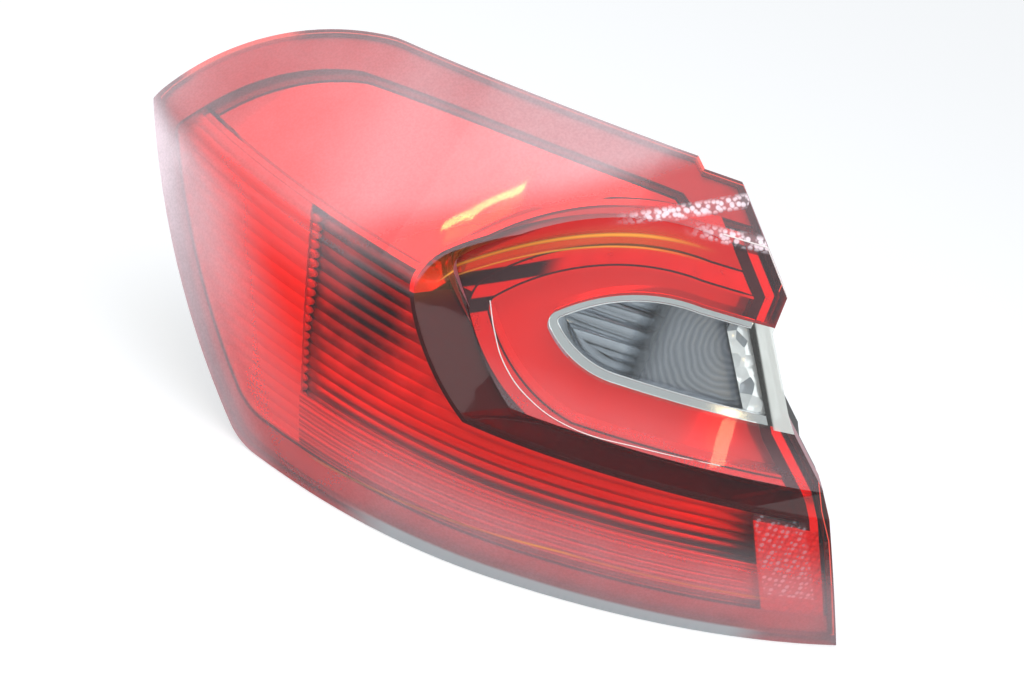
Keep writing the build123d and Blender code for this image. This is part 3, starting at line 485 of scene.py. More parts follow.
strongest = add(tree, "ShaderNodeMath", TIMES, _0=strength, _1=reach)
# The line is a painted highlight, mixed in as warm matte colour.
painted_line_highlight = add(tree, "ShaderNodeMath", TIMES, _0=on_line, _1=strongest)
print("bright line at", round(LINE_HEIGHT / MM, 1), "mm")

# %% [markdown]
# ### Clear red under haze and gloss
# Both faces of a wall tint what lies behind, so each carries the square root of the wall's colour. Real
# refraction through so many walls would be slow and dark, and a transparent shader gives the same red. The
# bloom with its painted white glints, and the painted warm glow, are thin matte layers, mixed in on the outer
# face only so that they act once for a wall.
# The gloss on top grows at a glancing angle.

# %% Acrylic skin
# Acrylic is a glossy plastic: a deep clear red, pale and milky where the coat has crazed, under sharp images.
# The white glints of the prisms and corner cubes and the warm glows are painted into it as matte layers.
WALL_TINT = (0.985, 0.085, 0.055)
FACE_TINT = (*[math.sqrt(channel) for channel in WALL_TINT], 1)
CLEAREST = 0.02
COAT_ROUGHNESS = 0.03
# Fresh acrylic has an IOR of 1.49, and its worn coat mirrors less.
COAT_IOR = 1.28
CLAMPED_TIMES = {**TIMES, "use_clamp": True}
bloom = CLEAREST
weathered = (top_bloom, side_bloom, corner_bloom, rim_bloom, low_bloom, mouth_bloom)
for layer in (*weathered, toe_painted_glints, *painted_sparkle_rows):
    bloom = add(tree, "ShaderNodeMath", PLUS, _0=bloom, _1=layer)
glow = nose_glow
for layer in (*painted_step_highlights, painted_line_highlight):
    glow = add(tree, "ShaderNodeMath", PLUS, _0=glow, _1=layer)
uneven_bloom_and_glints = add(tree, "ShaderNodeMath", TIMES, _0=bloom, _1=patchy)
side = add(tree, "ShaderNodeNewGeometry")
outside = add(tree, "ShaderNodeMath", MINUS, _0=1.0, _1=side.outputs["Backfacing"])
milky = add(tree, "ShaderNodeMath", CLAMPED_TIMES, _0=uneven_bloom_and_glints, _1=outside)
painted_glow_share = add(tree, "ShaderNodeMath", CLAMPED_TIMES, _0=glow, _1=outside)
clear_red = add(tree, "ShaderNodeBsdfTransparent", Color=FACE_TINT)
haze = add(tree, "ShaderNodeBsdfDiffuse", Color=linear("#ffecf6"))
hazed = add(tree, "ShaderNodeMixShader", Fac=milky, _1=clear_red, _2=haze)
# Painted warm glow: an orange matte layer on the nose, the steps and the lower line.
warm = add(tree, "ShaderNodeBsdfDiffuse", Color=linear("#ffb450"))
glowing = add(tree, "ShaderNodeMixShader", Fac=painted_glow_share, _1=hazed, _2=warm)
polish = add(tree, "ShaderNodeBsdfGlossy", Color=(1, 1, 1, 1), Roughness=COAT_ROUGHNESS)
angle = add(tree, "ShaderNodeFresnel", IOR=COAT_IOR)
mirror = add(tree, "ShaderNodeMath", TIMES, _0=angle, _1=outside)
skin = add(tree, "ShaderNodeMixShader", Fac=mirror, _1=glowing, _2=polish)
print("acrylic skin:", len(tree.nodes), "nodes")

# %% [markdown]
# ### Skirt and foot
# The skirt round the edge of the lens is bonded to the housing: it shows the joint behind it, as a solid
# dusky rose. It is found by its walls, which look along the edge or up, and the ledge in the mouth is taken
# out again. Along the foot of the rear runs a narrow grey strip.

# %% Bonded skirt and grey foot
# Bonded acrylic looks solid: an even satin rose. The strip along the foot is a paler satin grey.
SKIRT_ROUGHNESS = 0.35
FOOT_ROUGHNESS = 0.4
FLAT_UP = fade(0.88, 0.92)
MOUTH_HIGH = fade(-70 * MM, -60 * MM)
EDGEWISE = fade(0.28, 0.24)
ROOF = fade(0.78, 0.82)
ROOF_HIGH = fade(40 * MM, 45 * MM)
AT_FOOT = fade(-90.5 * MM, -92.5 * MM)
PAST_CORNER = fade(-50 * MM, -15 * MM)
BEFORE_END = fade(175 * MM, 150 * MM)
flat_up = add(tree, "ShaderNodeMapRange", SOFT, Value=upward, **FLAT_UP)
mouth_high = add(tree, "ShaderNodeMapRange", SOFT, Value=z, **MOUTH_HIGH)
ledge = add(tree, "ShaderNodeMath", TIMES, _0=flat_up, _1=mouth_high)
edgewise = add(tree, "ShaderNodeMapRange", SOFT, Value=forward, **EDGEWISE)
end_wall = add(tree, "ShaderNodeMath", {**MINUS, "use_clamp": True}, _0=edgewise, _1=ledge)
roof = add(tree, "ShaderNodeMapRange", SOFT, Value=upward, **ROOF)
roof_high = add(tree, "ShaderNodeMapRange", SOFT, Value=z, **ROOF_HIGH)
top_wall = add(tree, "ShaderNodeMath", TIMES, _0=roof, _1=roof_high)
skirt = add(tree, "ShaderNodeMath", LARGER, _0=end_wall, _1=top_wall)
bonded = add(tree, "ShaderNodeBsdfPrincipled", Base_Color=linear("#a8707c"), Roughness=SKIRT_ROUGHNESS)
with_skirt = add(tree, "ShaderNodeMixShader", Fac=skirt, _1=skin, _2=bonded)
at_foot = add(tree, "ShaderNodeMapRange", SOFT, Value=z, **AT_FOOT)
past_corner = add(tree, "ShaderNodeMapRange", SOFT, Value=x, **PAST_CORNER)
before_end = add(tree, "ShaderNodeMapRange", SOFT, Value=x, **BEFORE_END)
along_foot = add(tree, "ShaderNodeMath", TIMES, _0=past_corner, _1=before_end)
foot = add(tree, "ShaderNodeMath", TIMES, _0=at_foot, _1=along_foot)
grey_foot = add(tree, "ShaderNodeBsdfPrincipled", Base_Color=linear("#b4babf"), Roughness=FOOT_ROUGHNESS)
with_foot = add(tree, "ShaderNodeMixShader", Fac=foot, _1=with_skirt, _2=grey_foot)
add(tree, "ShaderNodeOutputMaterial", Surface=with_foot)


def finish(material, *names):
    """Gives solids of the lamp a material."""
    for name in names:
        solids[name].data.materials.clear()
        solids[name].data.materials.append(material)
    print(material.name, "on", ", ".join(names))


finish(red_acrylic, "red_lens")

# %% [markdown]
# ## Clear window
# The window is the clear shot of the same moulding. Its inner end wraps round to the edge of the lamp, where
# the mould is grained, so that strip looks frosted and pale. The frost starts at a slanting line, which a dot
# product with a slanting direction finds.

# %% Clear acrylic
# Clear acrylic shows what is behind it under sharp images; where its mould is grained it is a pale frost.
FROST_WAY = (0.835, 0, 0.55)
FROST_FROM = 112 * MM
FROST_SHARE = fade(FROST_FROM, FROST_FROM + 1.5 * MM, 0.03, 0.75)
WINDOW_ROUGHNESS = 0.05
# The window is less worn than the red lens, so it mirrors more.
WINDOW_IOR = 1.4
clear_acrylic, tree = new_material("clear acrylic")
place = add(tree, "ShaderNodeTexCoord")
side = add(tree, "ShaderNodeNewGeometry")
outside = add(tree, "ShaderNodeMath", MINUS, _0=1.0, _1=side.outputs["Backfacing"])
spot = place.outputs["Object"]
along = add(tree, "ShaderNodeVectorMath", {"operation": "DOT_PRODUCT"}, _0=spot, _1=FROST_WAY)
grained = add(tree, "ShaderNodeMapRange", SOFT, Value=along.outputs["Value"], **FROST_SHARE)
frost_share = add(tree, "ShaderNodeMath", TIMES, _0=grained, _1=outside)
clear = add(tree, "ShaderNodeBsdfTransparent", Color=linear("#f6f8f8"))
frost = add(tree, "ShaderNodeBsdfDiffuse", Color=linear("#e6ece9"))
frosted = add(tree, "ShaderNodeMixShader", Fac=frost_share, _1=clear, _2=frost)
polish = add(tree, "ShaderNodeBsdfGlossy", Color=(1, 1, 1, 1), Roughness=WINDOW_ROUGHNESS)
angle = add(tree, "ShaderNodeFresnel", IOR=WINDOW_IOR)
mirror = add(tree, "ShaderNodeMath", TIMES, _0=angle, _1=outside)
coated = add(tree, "ShaderNodeMixShader", Fac=mirror, _1=frosted, _2=polish)
add(tree, "ShaderNodeOutputMaterial", Surface=coated)
finish(clear_acrylic, "clear_window")

# %% [markdown]
# ## Moulded finishes
# Most other pieces have one finish all over. It still varies: mouldings have a fine grain, plating is thinner
# in places, rubber is dull. One recipe covers them all: a noise with a grain size in millimetres moves the
# tone and the gloss a little, and lifts the surface where there is a relief. Coarser grain than the real one
# stands for it where the real one would be too fine to show.

# %% Black and grey mouldings
COLOUR = {"data_type": "RGBA"}
MIDDLE_OF_NOISE = {"From_Min": 0.3, "From_Max": 0.7}
SMOOTHEST = 0.02
RELIEF_STRENGTH = 0.4


def surface(name, hex_colour, grain, metallic=0.0, roughness=0.4, spread=0.08, tone=0.12, relief=0.0):
    """A finish whose tone, gloss and relief vary at one grain size; grain and relief are in millimetres."""
    material, tree = new_material(name)
    place = add(tree, "ShaderNodeTexCoord")
    noise = add(tree, "ShaderNodeTexNoise", Vector=place.outputs["Object"], Scale=1 / (grain * MM), Detail=5)
    colour = linear(hex_colour)
    dark = (*[channel * (1 - tone) for channel in colour[:3]], 1)
    light = (*[min(1, channel * (1 + tone)) for channel in colour[:3]], 1)
    base = add(tree, "ShaderNodeMix", COLOUR, _0=noise, _6=dark, _7=light)
    limits = {"To_Min": max(SMOOTHEST, roughness - spread), "To_Max": roughness + spread}
    sheen = add(tree, "ShaderNodeMapRange", SOFT, Value=noise, **MIDDLE_OF_NOISE, **limits)
    bump = add(tree, "ShaderNodeBump", Strength=RELIEF_STRENGTH, Distance=relief * MM, Height=noise)
    body = {"Base_Color": base.outputs[2], "Metallic": metallic, "Roughness": sheen, "Normal": bump}
    add(tree, "ShaderNodeOutputMaterial", Surface=add(tree, "ShaderNodeBsdfPrincipled", **body))
    return material


# Nylon filled with glass fibre is a dull dark grey with a fine grain.
nylon = surface("glass-filled nylon", "#3a3a3c", grain=0.6, roughness=0.5, relief=0.05)
finish(nylon, "stop_holder", "turn_holder", "fog_holder", "locating_pin")
# Black polycarbonate looks deep black behind the red lens, with a soft sheen.
finish(surface("black polycarbonate", "#0a0809", grain=3, roughness=0.45), "bezel")
# The frame's plastic is matte and pale, so the lens before it reads as a mauve band.
finish(surface("grey frame plastic", "#c8c0c4", grain=2, roughness=0.6, relief=0.02), "edge_frame")

# %% [markdown]
# ## Plated finishes
# The reflectors are plastic with a film of aluminium, laid on in a vacuum. How thick and how smooth the film
# is decides whether a piece mirrors sharply, softly or darkly, so each piece has its own roughness and tone.

# %% Plated pieces
# Plating over a rough mould gives a soft, even brightness.
soft_plated = surface("soft-plated polycarbonate", "#fafafa", grain=25, metallic=1, roughness=0.3, tone=0.03)
finish(soft_plated, "stop_bowl", "fog_bowl")
# Plating over a polished mould mirrors the room almost sharply.
BRIGHT = {"grain": 25, "metallic": 1, "spread": 0.03, "tone": 0.04}
finish(surface("bright plated polycarbonate", "#f4f0ee", roughness=0.08, **BRIGHT), "upper_reflector")
# A thin film lets the white plastic show, so it looks paler than a mirror and still has glints.
THIN = {"grain": 18, "metallic": 0.5, "spread": 0.05, "tone": 0.06}
finish(surface("thinly plated polycarbonate", "#ffffff", roughness=0.14, **THIN), "ring_dish")
# Satin plating scatters light, so the ribs of the side look evenly lit.
SATIN = {"grain": 15, "metallic": 0.4, "spread": 0.06, "tone": 0.03}
finish(surface("satin plated polycarbonate", "#fbf8f6", roughness=0.6, **SATIN), "side_optic")
# Chrome is a harder, colder mirror than aluminium.
CHROME = {"grain": 15, "metallic": 1, "spread": 0.04, "tone": 0.04}
finish(surface("chromed plastic", "#e4e6e8", roughness=0.12, **CHROME), "leaf_bezel")
# A smoked lacquer over the film turns it to a bluish grey.
SMOKED = {"grain": 12, "metallic": 1, "spread": 0.06, "tone": 0.1}
finish(surface("smoked plating", "#b4bac4", roughness=0.2, **SMOKED), "leaf_reflector")

# %% [markdown]
# ## Bulbs, seals and fixings
# Most of these are hidden or seen from behind. Glass, brass, rubber, foam and zinc each have a typical tone
# and gloss, so the same recipe serves. The bulbs' glass is opaque, because nothing inside it is modelled.

# %% Bulbs, seals and fixings
# Blown glass is pale grey with sharp glints.
finish(surface("bulb glass", "#d8dcdc", grain=4, roughness=0.1), "stop_bulb", "turn_bulb", "fog_bulb")
# Pressed brass is a dull yellow mirror.
brass = surface("brass cap", "#b59a5c", grain=2, metallic=1, roughness=0.3)
finish(brass, "stop_bulb_cap", "turn_bulb_cap", "fog_bulb_cap")
# Moulded rubber is nearly black and takes no shine.
rubber = surface("moulded rubber", "#18181a", grain=1, roughness=0.7, relief=0.05)
finish(rubber, "stop_holder_seal", "turn_holder_seal", "fog_holder_seal", "vent_1", "vent_2")
# Closed-cell foam is dead matte with small pits.
finish(surface("closed-cell foam", "#1d1d1f", grain=0.5, roughness=0.85, relief=0.2), "body_gasket")
# Zinc plating on steel is a light grey with a broad sheen.
zinc = surface("zinc-plated steel", "#b9bab5", grain=3, metallic=1, roughness=0.35)
finish(zinc, "main_stud", "second_stud")

# %% [markdown]
# ## Red light guides
# The bars at the inner end and the ring round the mouth are red acrylic guides over plating. Light goes into
# the guide and comes back from the plating behind it. Tracing that behind a lens that is red as well would be
# slow, so a light red with a metal's gloss stands for both.

# %% Red light guides
# Red acrylic over plating glows a light, warm red.
GUIDE = {"grain": 6, "metallic": 0.7, "roughness": 0.35}
finish(surface("red light guide", "#ff8070", **GUIDE), "end_bar_upper", "end_bar_lower")

# %% [markdown]
# ## Painted shadows on the steps at the nose
# Near the nose of the mouth, the plating and the light guide each have two steps, and the shadow along each
# is painted black. The steps slope with the brow, so a height with the slope taken out tells how far a place
# is from each. Black is mixed into the finished colour there, so the rest of the finish stays as it is.

# %% Brow liner and tail ring
STEP_SLOPE = 0.62
STEPS_AT = (44.5 * MM, 31 * MM)
STEP_HALF = 3.2 * MM
STEP_SOFT = 0.8 * MM
NEAR_NOSE = fade(-2 * MM, 10 * MM, 1, 0)
STEP_SHADOW_BLACK = linear("#140c0c")


def paint_step_shadows(material):
    """Mixes black painted shadow into a finish along the two steps at the nose."""
    tree = material.node_tree
    body = next(node for node in tree.nodes if node.type == "BSDF_PRINCIPLED")
    place = add(tree, "ShaderNodeTexCoord")
    where = add(tree, "ShaderNodeSeparateXYZ", Vector=place.outputs["Object"])
    x = where.outputs["X"]
    level = add(tree, "ShaderNodeMath", TIMES_PLUS, _0=x, _1=-STEP_SLOPE, _2=where.outputs["Z"])
    near_nose = add(tree, "ShaderNodeMapRange", SOFT, Value=x, **NEAR_NOSE)
    colour = body.inputs["Base Color"].links[0].from_socket
    # Each band is painted shadow, mixed in as black.
    for height in STEPS_AT:
        on_step = band(tree, level, height, STEP_HALF, STEP_SOFT)
        share = add(tree, "ShaderNodeMath", TIMES, _0=on_step, _1=near_nose)
        colour = add(tree, "ShaderNodeMix", COLOUR, _0=share, _6=colour, _7=STEP_SHADOW_BLACK).outputs[2]
    tree.links.new(colour, body.inputs["Base Color"])
    return material


# The liner's plating mirrors the room, and the shadows on its steps are painted black.
finish(paint_step_shadows(surface("stepped plating, painted shadows", "#f4f0ee", roughness=0.1, **BRIGHT)), "brow_liner")
# The ring glows a warm red like the bars at the end, and the shadows on its steps are painted black.
finish(paint_step_shadows(surface("stepped light guide, painted shadows", "#ff8070", **GUIDE)), "tail_ring")

# %% [markdown]
# ## Housing
# The housing is black outside, with the fine grain of its mould. Its inside is plated with the optics, so the
# faces that look forward are bright. Two materials on two sets of faces could do this, but the mesh from CAD
# is left alone, so the way a face looks tells the two apart.

# %% Housing
# Moulded polypropylene is a grained, dull black; plated, it turns a soft silver.
MOULD_GRAIN = 0.8 * MM
GRAIN_RELIEF = 0.08 * MM
FACES_FRONT = fade(-0.2, -0.5)
moulded, tree = new_material("moulded polypropylene, plated inside")
place = add(tree, "ShaderNodeTexCoord")
faces = add(tree, "ShaderNodeSeparateXYZ", Vector=place.outputs["Normal"])
inside = add(tree, "ShaderNodeMapRange", SOFT, Value=faces.outputs["Y"], **FACES_FRONT)
noise = add(tree, "ShaderNodeTexNoise", Vector=place.outputs["Object"], Scale=1 / MOULD_GRAIN, Detail=4)
black = add(tree, "ShaderNodeMix", COLOUR, _0=noise, _6=linear("#2a2a2c"), _7=linear("#3c3c3e"))
base = add(tree, "ShaderNodeMix", COLOUR, _0=inside, _6=black.outputs[2], _7=linear("#b0a8a8"))
bump = add(tree, "ShaderNodeBump", Strength=RELIEF_STRENGTH, Distance=GRAIN_RELIEF, Height=noise)
body = {"Base_Color": base.outputs[2], "Metallic": inside, "Roughness": 0.5, "Normal": bump}
add(tree, "ShaderNodeOutputMaterial", Surface=add(tree, "ShaderNodeBsdfPrincipled", **body))
finish(moulded, "housing")

# %% [markdown]
# ## Rear optic
# The optic behind the corner is clear and ribbed, over an unlit cavity. Its light and shade are painted into
# the colour of a plated surface: a dark heart below the crease, where only the tops of the ribs are painted
# light, turning bright towards its edges, where light would come in round it. The distance from the middle of
# the heart, made ragged by a noise, gives that fade.

# %% Rear optic
# Painted light and shade: black stripes in the middle with lighter rib tops, and a pale gleam all round.
HEART = (-68 * MM, 0, 4 * MM)
SEEN_FROM_FRONT = (1, 0, 1)
RAGGED_SIZE = 18 * MM
RAGGED_BY = 10 * MM
LIT_FROM_HEART = fade(10 * MM, 60 * MM)
RIB_TOPS = fade(-0.1, 0.35)
rear_ribbed, tree = new_material("ribbed acrylic, painted light and shade")
place = add(tree, "ShaderNodeTexCoord")
flattened = add(tree, "ShaderNodeVectorMath", TIMES, _0=place.outputs["Object"], _1=SEEN_FROM_FRONT)
from_heart = add(tree, "ShaderNodeVectorMath", {"operation": "DISTANCE"}, _0=flattened, _1=HEART)
cloud = add(tree, "ShaderNodeTexNoise", Vector=place.outputs["Object"], Scale=1 / RAGGED_SIZE, Detail=4)
stray = add(tree, "ShaderNodeMapRange", Value=cloud, **MIDDLE_OF_NOISE, To_Min=-RAGGED_BY, To_Max=RAGGED_BY)
ragged = add(tree, "ShaderNodeMath", PLUS, _0=from_heart.outputs["Value"], _1=stray)
lit = add(tree, "ShaderNodeMapRange", SOFT, Value=ragged, **LIT_FROM_HEART)
faces = add(tree, "ShaderNodeSeparateXYZ", Vector=place.outputs["Normal"])
lit_rib_tops = add(tree, "ShaderNodeMapRange", SOFT, Value=faces.outputs["Z"], **RIB_TOPS)
# Rib tops lighter than their undersides: painted light and shade.
painted_rib_shade = add(tree, "ShaderNodeMix", COLOUR, _0=lit_rib_tops, _6=linear("#1c1617"), _7=linear("#7c6a6c"))
base = add(tree, "ShaderNodeMix", COLOUR, _0=lit, _6=painted_rib_shade.outputs[2], _7=linear("#efe8e6"))
body = {"Base_Color": base.outputs[2], "Metallic": 1.0, "Roughness": 0.35}
add(tree, "ShaderNodeOutputMaterial", Surface=add(tree, "ShaderNodeBsdfPrincipled", **body))
finish(rear_ribbed, "rear_optic")

# %% [markdown]
# ## Lower optic
# The strip along the lower edge has finer ribs than its solid carries, so a wave pattern paints their light
# and shade into the colour and lifts them a little with a bump. A wave texture of scale s repeats every
# 2 pi / (20 s), so the scale follows from the pitch.

# %% Lower optic
# Fine plated ribs give the eye thin level lines, their light and less light painted into the colour.
FINE_RIB = 2.4 * MM
RIB_RELIEF = 0.4 * MM
ONE_WAVE = 2 * math.pi / 20
fine_ribbed, tree = new_material("finely ribbed plated polycarbonate")
place = add(tree, "ShaderNodeTexCoord")
level_bands = {"wave_type": "BANDS", "bands_direction": "Z"}
wave = {"Scale": ONE_WAVE / FINE_RIB, "Distortion": 0.6, "Detail": 1}
ribs = add(tree, "ShaderNodeTexWave", level_bands, Vector=place.outputs["Object"], **wave)
# Light and dark bands are painted shade of the ribs; the bump below is real relief.
base = add(tree, "ShaderNodeMix", COLOUR, _0=ribs, _6=linear("#c8c0be"), _7=linear("#fbf6f4"))
bump = add(tree, "ShaderNodeBump", Strength=0.5, Distance=RIB_RELIEF, Height=ribs)
body = {"Base_Color": base.outputs[2], "Metallic": 1.0, "Roughness": 0.4, "Normal": bump}
add(tree, "ShaderNodeOutputMaterial", Surface=add(tree, "ShaderNodeBsdfPrincipled", **body))
finish(fine_ribbed, "lower_optic")

# %% [markdown]
# ## Retro reflector
# The patch at the inner end of the lower arm is a sheet of corner cubes, about 3 mm across. Each cell throws
# light back, so neighbours look bright or dark, and that light is painted into the colour. Voronoi cells at
# that size, with little randomness, give both the painted pattern and its relief, where modelled cubes would
# be hundreds of faces behind the lens.

# %% Retro reflector
# Prismatic acrylic is a grid of pale points, painted glints of light thrown back, on a darker rose.
CUBE_PAINTED_GLINT = fade(0.15, 0.6)
CUBE_RELIEF = 1 * MM
prismatic, tree = new_material("red prismatic acrylic")
place = add(tree, "ShaderNodeTexCoord")
pattern = {"Scale": 1 / CUBE_SIZE, "Randomness": CUBE_STRAY}
cubes = add(tree, "ShaderNodeTexVoronoi", Vector=place.outputs["Object"], **pattern)
share = add(tree, "ShaderNodeMapRange", SOFT, Value=cubes.outputs["Distance"], **CUBE_PAINTED_GLINT)
# Pale cells are painted glints.
base = add(tree, "ShaderNodeMix", COLOUR, _0=share, _6=linear("#ffe4e6"), _7=linear("#e06a72"))
bump = add(tree, "ShaderNodeBump", Strength=1, Distance=CUBE_RELIEF, Height=cubes.outputs["Distance"])
body = {"Base_Color": base.outputs[2], "Metallic": 0.6, "Roughness": 0.3, "Normal": bump}
add(tree, "ShaderNodeOutputMaterial", Surface=add(tree, "ShaderNodeBsdfPrincipled", **body))
finish(prismatic, "retro_reflector")

# %% [markdown]
# ## Crystal bar
# The bar at the inner end of the window is cut into small facets, which flash white or show the grey behind
# them, and both are painted into the colour. Voronoi cells of 6 mm stand for the facets, each with its own
# painted tone and its own small hill.

# %% Crystal bar
# Faceted acrylic is a scatter of painted white flashes and painted grey reflections, with hard glints.
FACET_SIZE = 6 * MM
FACET_RELIEF = 1.5 * MM
FACET_FLASH = fade(0.15, 0.45)
cut_acrylic, tree = new_material("faceted clear acrylic")
place = add(tree, "ShaderNodeTexCoord")
facets = add(tree, "ShaderNodeTexVoronoi", Vector=place.outputs["Object"], Scale=1 / FACET_SIZE)
tone = add(tree, "ShaderNodeSeparateColor", Color=facets.outputs["Color"])
painted_flash = add(tree, "ShaderNodeMapRange", SOFT, Value=tone, **FACET_FLASH)
# White facets are painted flashes, grey ones painted reflections.
base = add(tree, "ShaderNodeMix", COLOUR, _0=painted_flash, _6=linear("#a0a4aa"), _7=linear("#ffffff"))
bump = add(tree, "ShaderNodeBump", Strength=0.8, Distance=FACET_RELIEF, Height=facets.outputs["Distance"])
body = {"Base_Color": base.outputs[2], "Metallic": 0.3, "Roughness": 0.15, "Normal": bump}
add(tree, "ShaderNodeOutputMaterial", Surface=add(tree, "ShaderNodeBsdfPrincipled", **body))
finish(cut_acrylic, "crystal_bar", "end_block")

# %% [markdown]
# ## Ripple lens
# The inner lens before the turn bulb has fine rings about the bulb. They break its image up, so only a grey
# shimmer shows. The rings grow out of clear acrylic, so the shimmer fades towards the nose of the window.
# Refraction through real ripples would need very many samples, so the shimmer is a rough gloss with rings.

# %% Ripple lens
# Rippled acrylic is a cool grey shimmer with faint rings, and clear at its outer end.
RING_PITCH = 3 * MM
RINGS_AT = (97 * MM, 0, 36 * MM)
RING_RELIEF = 0.4 * MM
MILK_SHARE = 0.35
RIPPLES_GROW = fade(53 * MM, 70 * MM, 0, 0.86)
rippled, tree = new_material("rippled acrylic")
place = add(tree, "ShaderNodeTexCoord")
where = add(tree, "ShaderNodeSeparateXYZ", Vector=place.outputs["Object"])
centred = add(tree, "ShaderNodeVectorMath", MINUS, _0=place.outputs["Object"], _1=RINGS_AT)
round_the_bulb = {"wave_type": "RINGS", "rings_direction": "Y"}
wave = {"Scale": ONE_WAVE / RING_PITCH, "Distortion": 3, "Detail": 1}
rings = add(tree, "ShaderNodeTexWave", round_the_bulb, Vector=centred, **wave)
bump = add(tree, "ShaderNodeBump", Strength=0.2, Distance=RING_RELIEF, Height=rings)
shade = add(tree, "ShaderNodeMix", COLOUR, _0=rings, _6=linear("#9aa0ac"), _7=linear("#b4bac4"))
shimmer = add(tree, "ShaderNodeBsdfGlossy", Color=shade.outputs[2], Roughness=0.3, Normal=bump)
milk = add(tree, "ShaderNodeBsdfDiffuse", Color=linear("#989ca6"))
cloudy = add(tree, "ShaderNodeMixShader", Fac=MILK_SHARE, _1=shimmer, _2=milk)
clear = add(tree, "ShaderNodeBsdfTransparent", Color=linear("#f0f2f4"))
grows = add(tree, "ShaderNodeMapRange", SOFT, Value=where.outputs["X"], **RIPPLES_GROW)
both = add(tree, "ShaderNodeMixShader", Fac=grows, _1=clear, _2=cloudy)
add(tree, "ShaderNodeOutputMaterial", Surface=both)
finish(rippled, "ripple_lens")

# %% [markdown]
# ## Fine edge lines
# Polished arrises catch the light as thin lines, and gaps between pieces show as dark ones. Each line is a
# bead that follows sharp edges of a solid; on the acrylic and in the gaps, the bead's colour is a painted
# highlight and a painted shadow. The edges could be bevelled, but a solid's own mesh is left alone: a merged
# copy keeps only the wanted edges, and a curve with a round section turns them into a bead.

# %% Wires along edges
SHORTEST_WIRE = 12 * MM
MERGE_WITHIN = 0.01 * MM


def is_long_wire(start):
    """Whether the wire that a point belongs to is long enough for a bead."""
    length = 0
    seen = {start}
    ahead = [start]
    while ahead and length < SHORTEST_WIRE:
        here = ahead.pop()
        for edge in here.link_edges:
            there = edge.other_vert(here)
            if there not in seen:
                seen.add(there)
                ahead.append(there)
                length += edge.calc_length()
    return length >= SHORTEST_WIRE


def edge_wire(name, solid, sharp, keep):
    """The edges of a solid that turn by more than sharp degrees, and that keep wants.

    keep sees an edge's middle in millimetres, and the normals of its lower and its upper face.
    """
    bm = bmesh.new()
    bm.from_mesh(solids[solid].data)
    bm.transform(solids[solid].matrix_world)
    bmesh.ops.remove_doubles(bm, verts=bm.verts, dist=MERGE_WITHIN)
    wanted = set()
    for edge in bm.edges:
        if len(edge.link_faces) == 2 and edge.calc_face_angle() > math.radians(sharp):
            middle = (edge.verts[0].co + edge.verts[1].co) / 2 / MM
            normals = sorted((face.normal for face in edge.link_faces), key=lambda normal: normal.z)
            if keep(middle, *normals):
                wanted.add(edge)
    bmesh.ops.delete(bm, geom=[edge for edge in bm.edges if edge not in wanted], context="EDGES")
    bmesh.ops.delete(bm, geom=bm.faces[:], context="FACES_ONLY")
    bmesh.ops.delete(bm, geom=[vert for vert in bm.verts if not is_long_wire(vert)], context="VERTS")
    mesh = bpy.data.meshes.new(name)
    bm.to_mesh(mesh)
    bm.free()
    return mesh


print("wires are merged within", round(MERGE_WITHIN / MM, 2), "mm, and short ones dropped")

# %% [markdown]
# ### From wire to bead
# Blender turns a wire into a curve and a curve with a bevel depth into a mesh. Its convert operator acts on
# the selected object, so a piece is selected alone first. Every finished piece rides on the lamp's one body.

# %% Beads along edges
BEAD_ROUNDNESS = 1


def add_to_scene(name, data):
    """A new object at the origin, selected alone for Blender's operators."""
    piece = bpy.data.objects.new(name, data)
    bpy.context.scene.collection.objects.link(piece)
    for other in bpy.context.selected_objects:
        other.select_set(False)
    bpy.context.view_layer.objects.active = piece
    piece.select_set(True)
    return piece


def set_on_lamp(piece, material):
    """Gives a finished mesh its material and smooth shading, and sets it on the lamp."""
    piece.data.materials.clear()
    piece.data.materials.append(material)
    for face in piece.data.polygons:
        face.use_smooth = True
    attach(piece, "root")
    print(piece.name, "faces:", len(piece.data.polygons))


def edge_bead(name, wire, radius, material):
    """A round bead along a wire."""
    piece = add_to_scene(name, wire)
    bpy.ops.object.convert(target="CURVE")
    piece.data.bevel_depth = radius
    piece.data.bevel_resolution = BEAD_ROUNDNESS
    bpy.ops.object.convert(target="MESH")
    set_on_lamp(piece, material)


print("beads ride on the root body")

# %% [markdown]
# ### Brow and window rim
# Two lines are bright: the arris of the brow, where the upper facet ends over the mouth, with its highlight
# painted as a white bead, and the front edges of the chromed rim round the window, up to where the rim runs
# under the end of the lens.

# %% Brow and window rim
# The polished acrylic arris is a painted highlight: a hard, pinkish white bead. A chrome edge is a colder and
# sharper glint.
# An edge's middle is in millimetres, and so are the two limits on it.
BROW_FROM = 30
RIM_END = 118
LOOKING_UP = 0.5
NOT_LOOKING_UP = 0.4
LOOKING_FORWARD = -0.5
LOOKING_STRAIGHT_FORWARD = -0.7
arris = surface("polished acrylic arris, painted highlight", "#fff2f2", grain=4, roughness=0.1)
RIM = {"grain": 6, "metallic": 1, "roughness": 0.06, "spread": 0.03, "tone": 0.03}
bright_rim = surface("bright chrome rim", "#f6f8fa", **RIM)


def on_brow(at, low, high):
    """Edges above the mouth, between the facet that looks up and a wall that looks forward."""
    below_facet = high.z > LOOKING_UP and low.z < NOT_LOOKING_UP
    return at.z > BROW_FROM and below_facet and low.y < LOOKING_FORWARD


def on_front(at, low, high):
    """Edges of a face that looks straight forward."""
    return min(low.y, high.y) < LOOKING_STRAIGHT_FORWARD


def on_window_rim(at, low, high):
    """Edges of the front of the rim, short of its inner end."""
    return on_front(at, low, high) and at.x < RIM_END


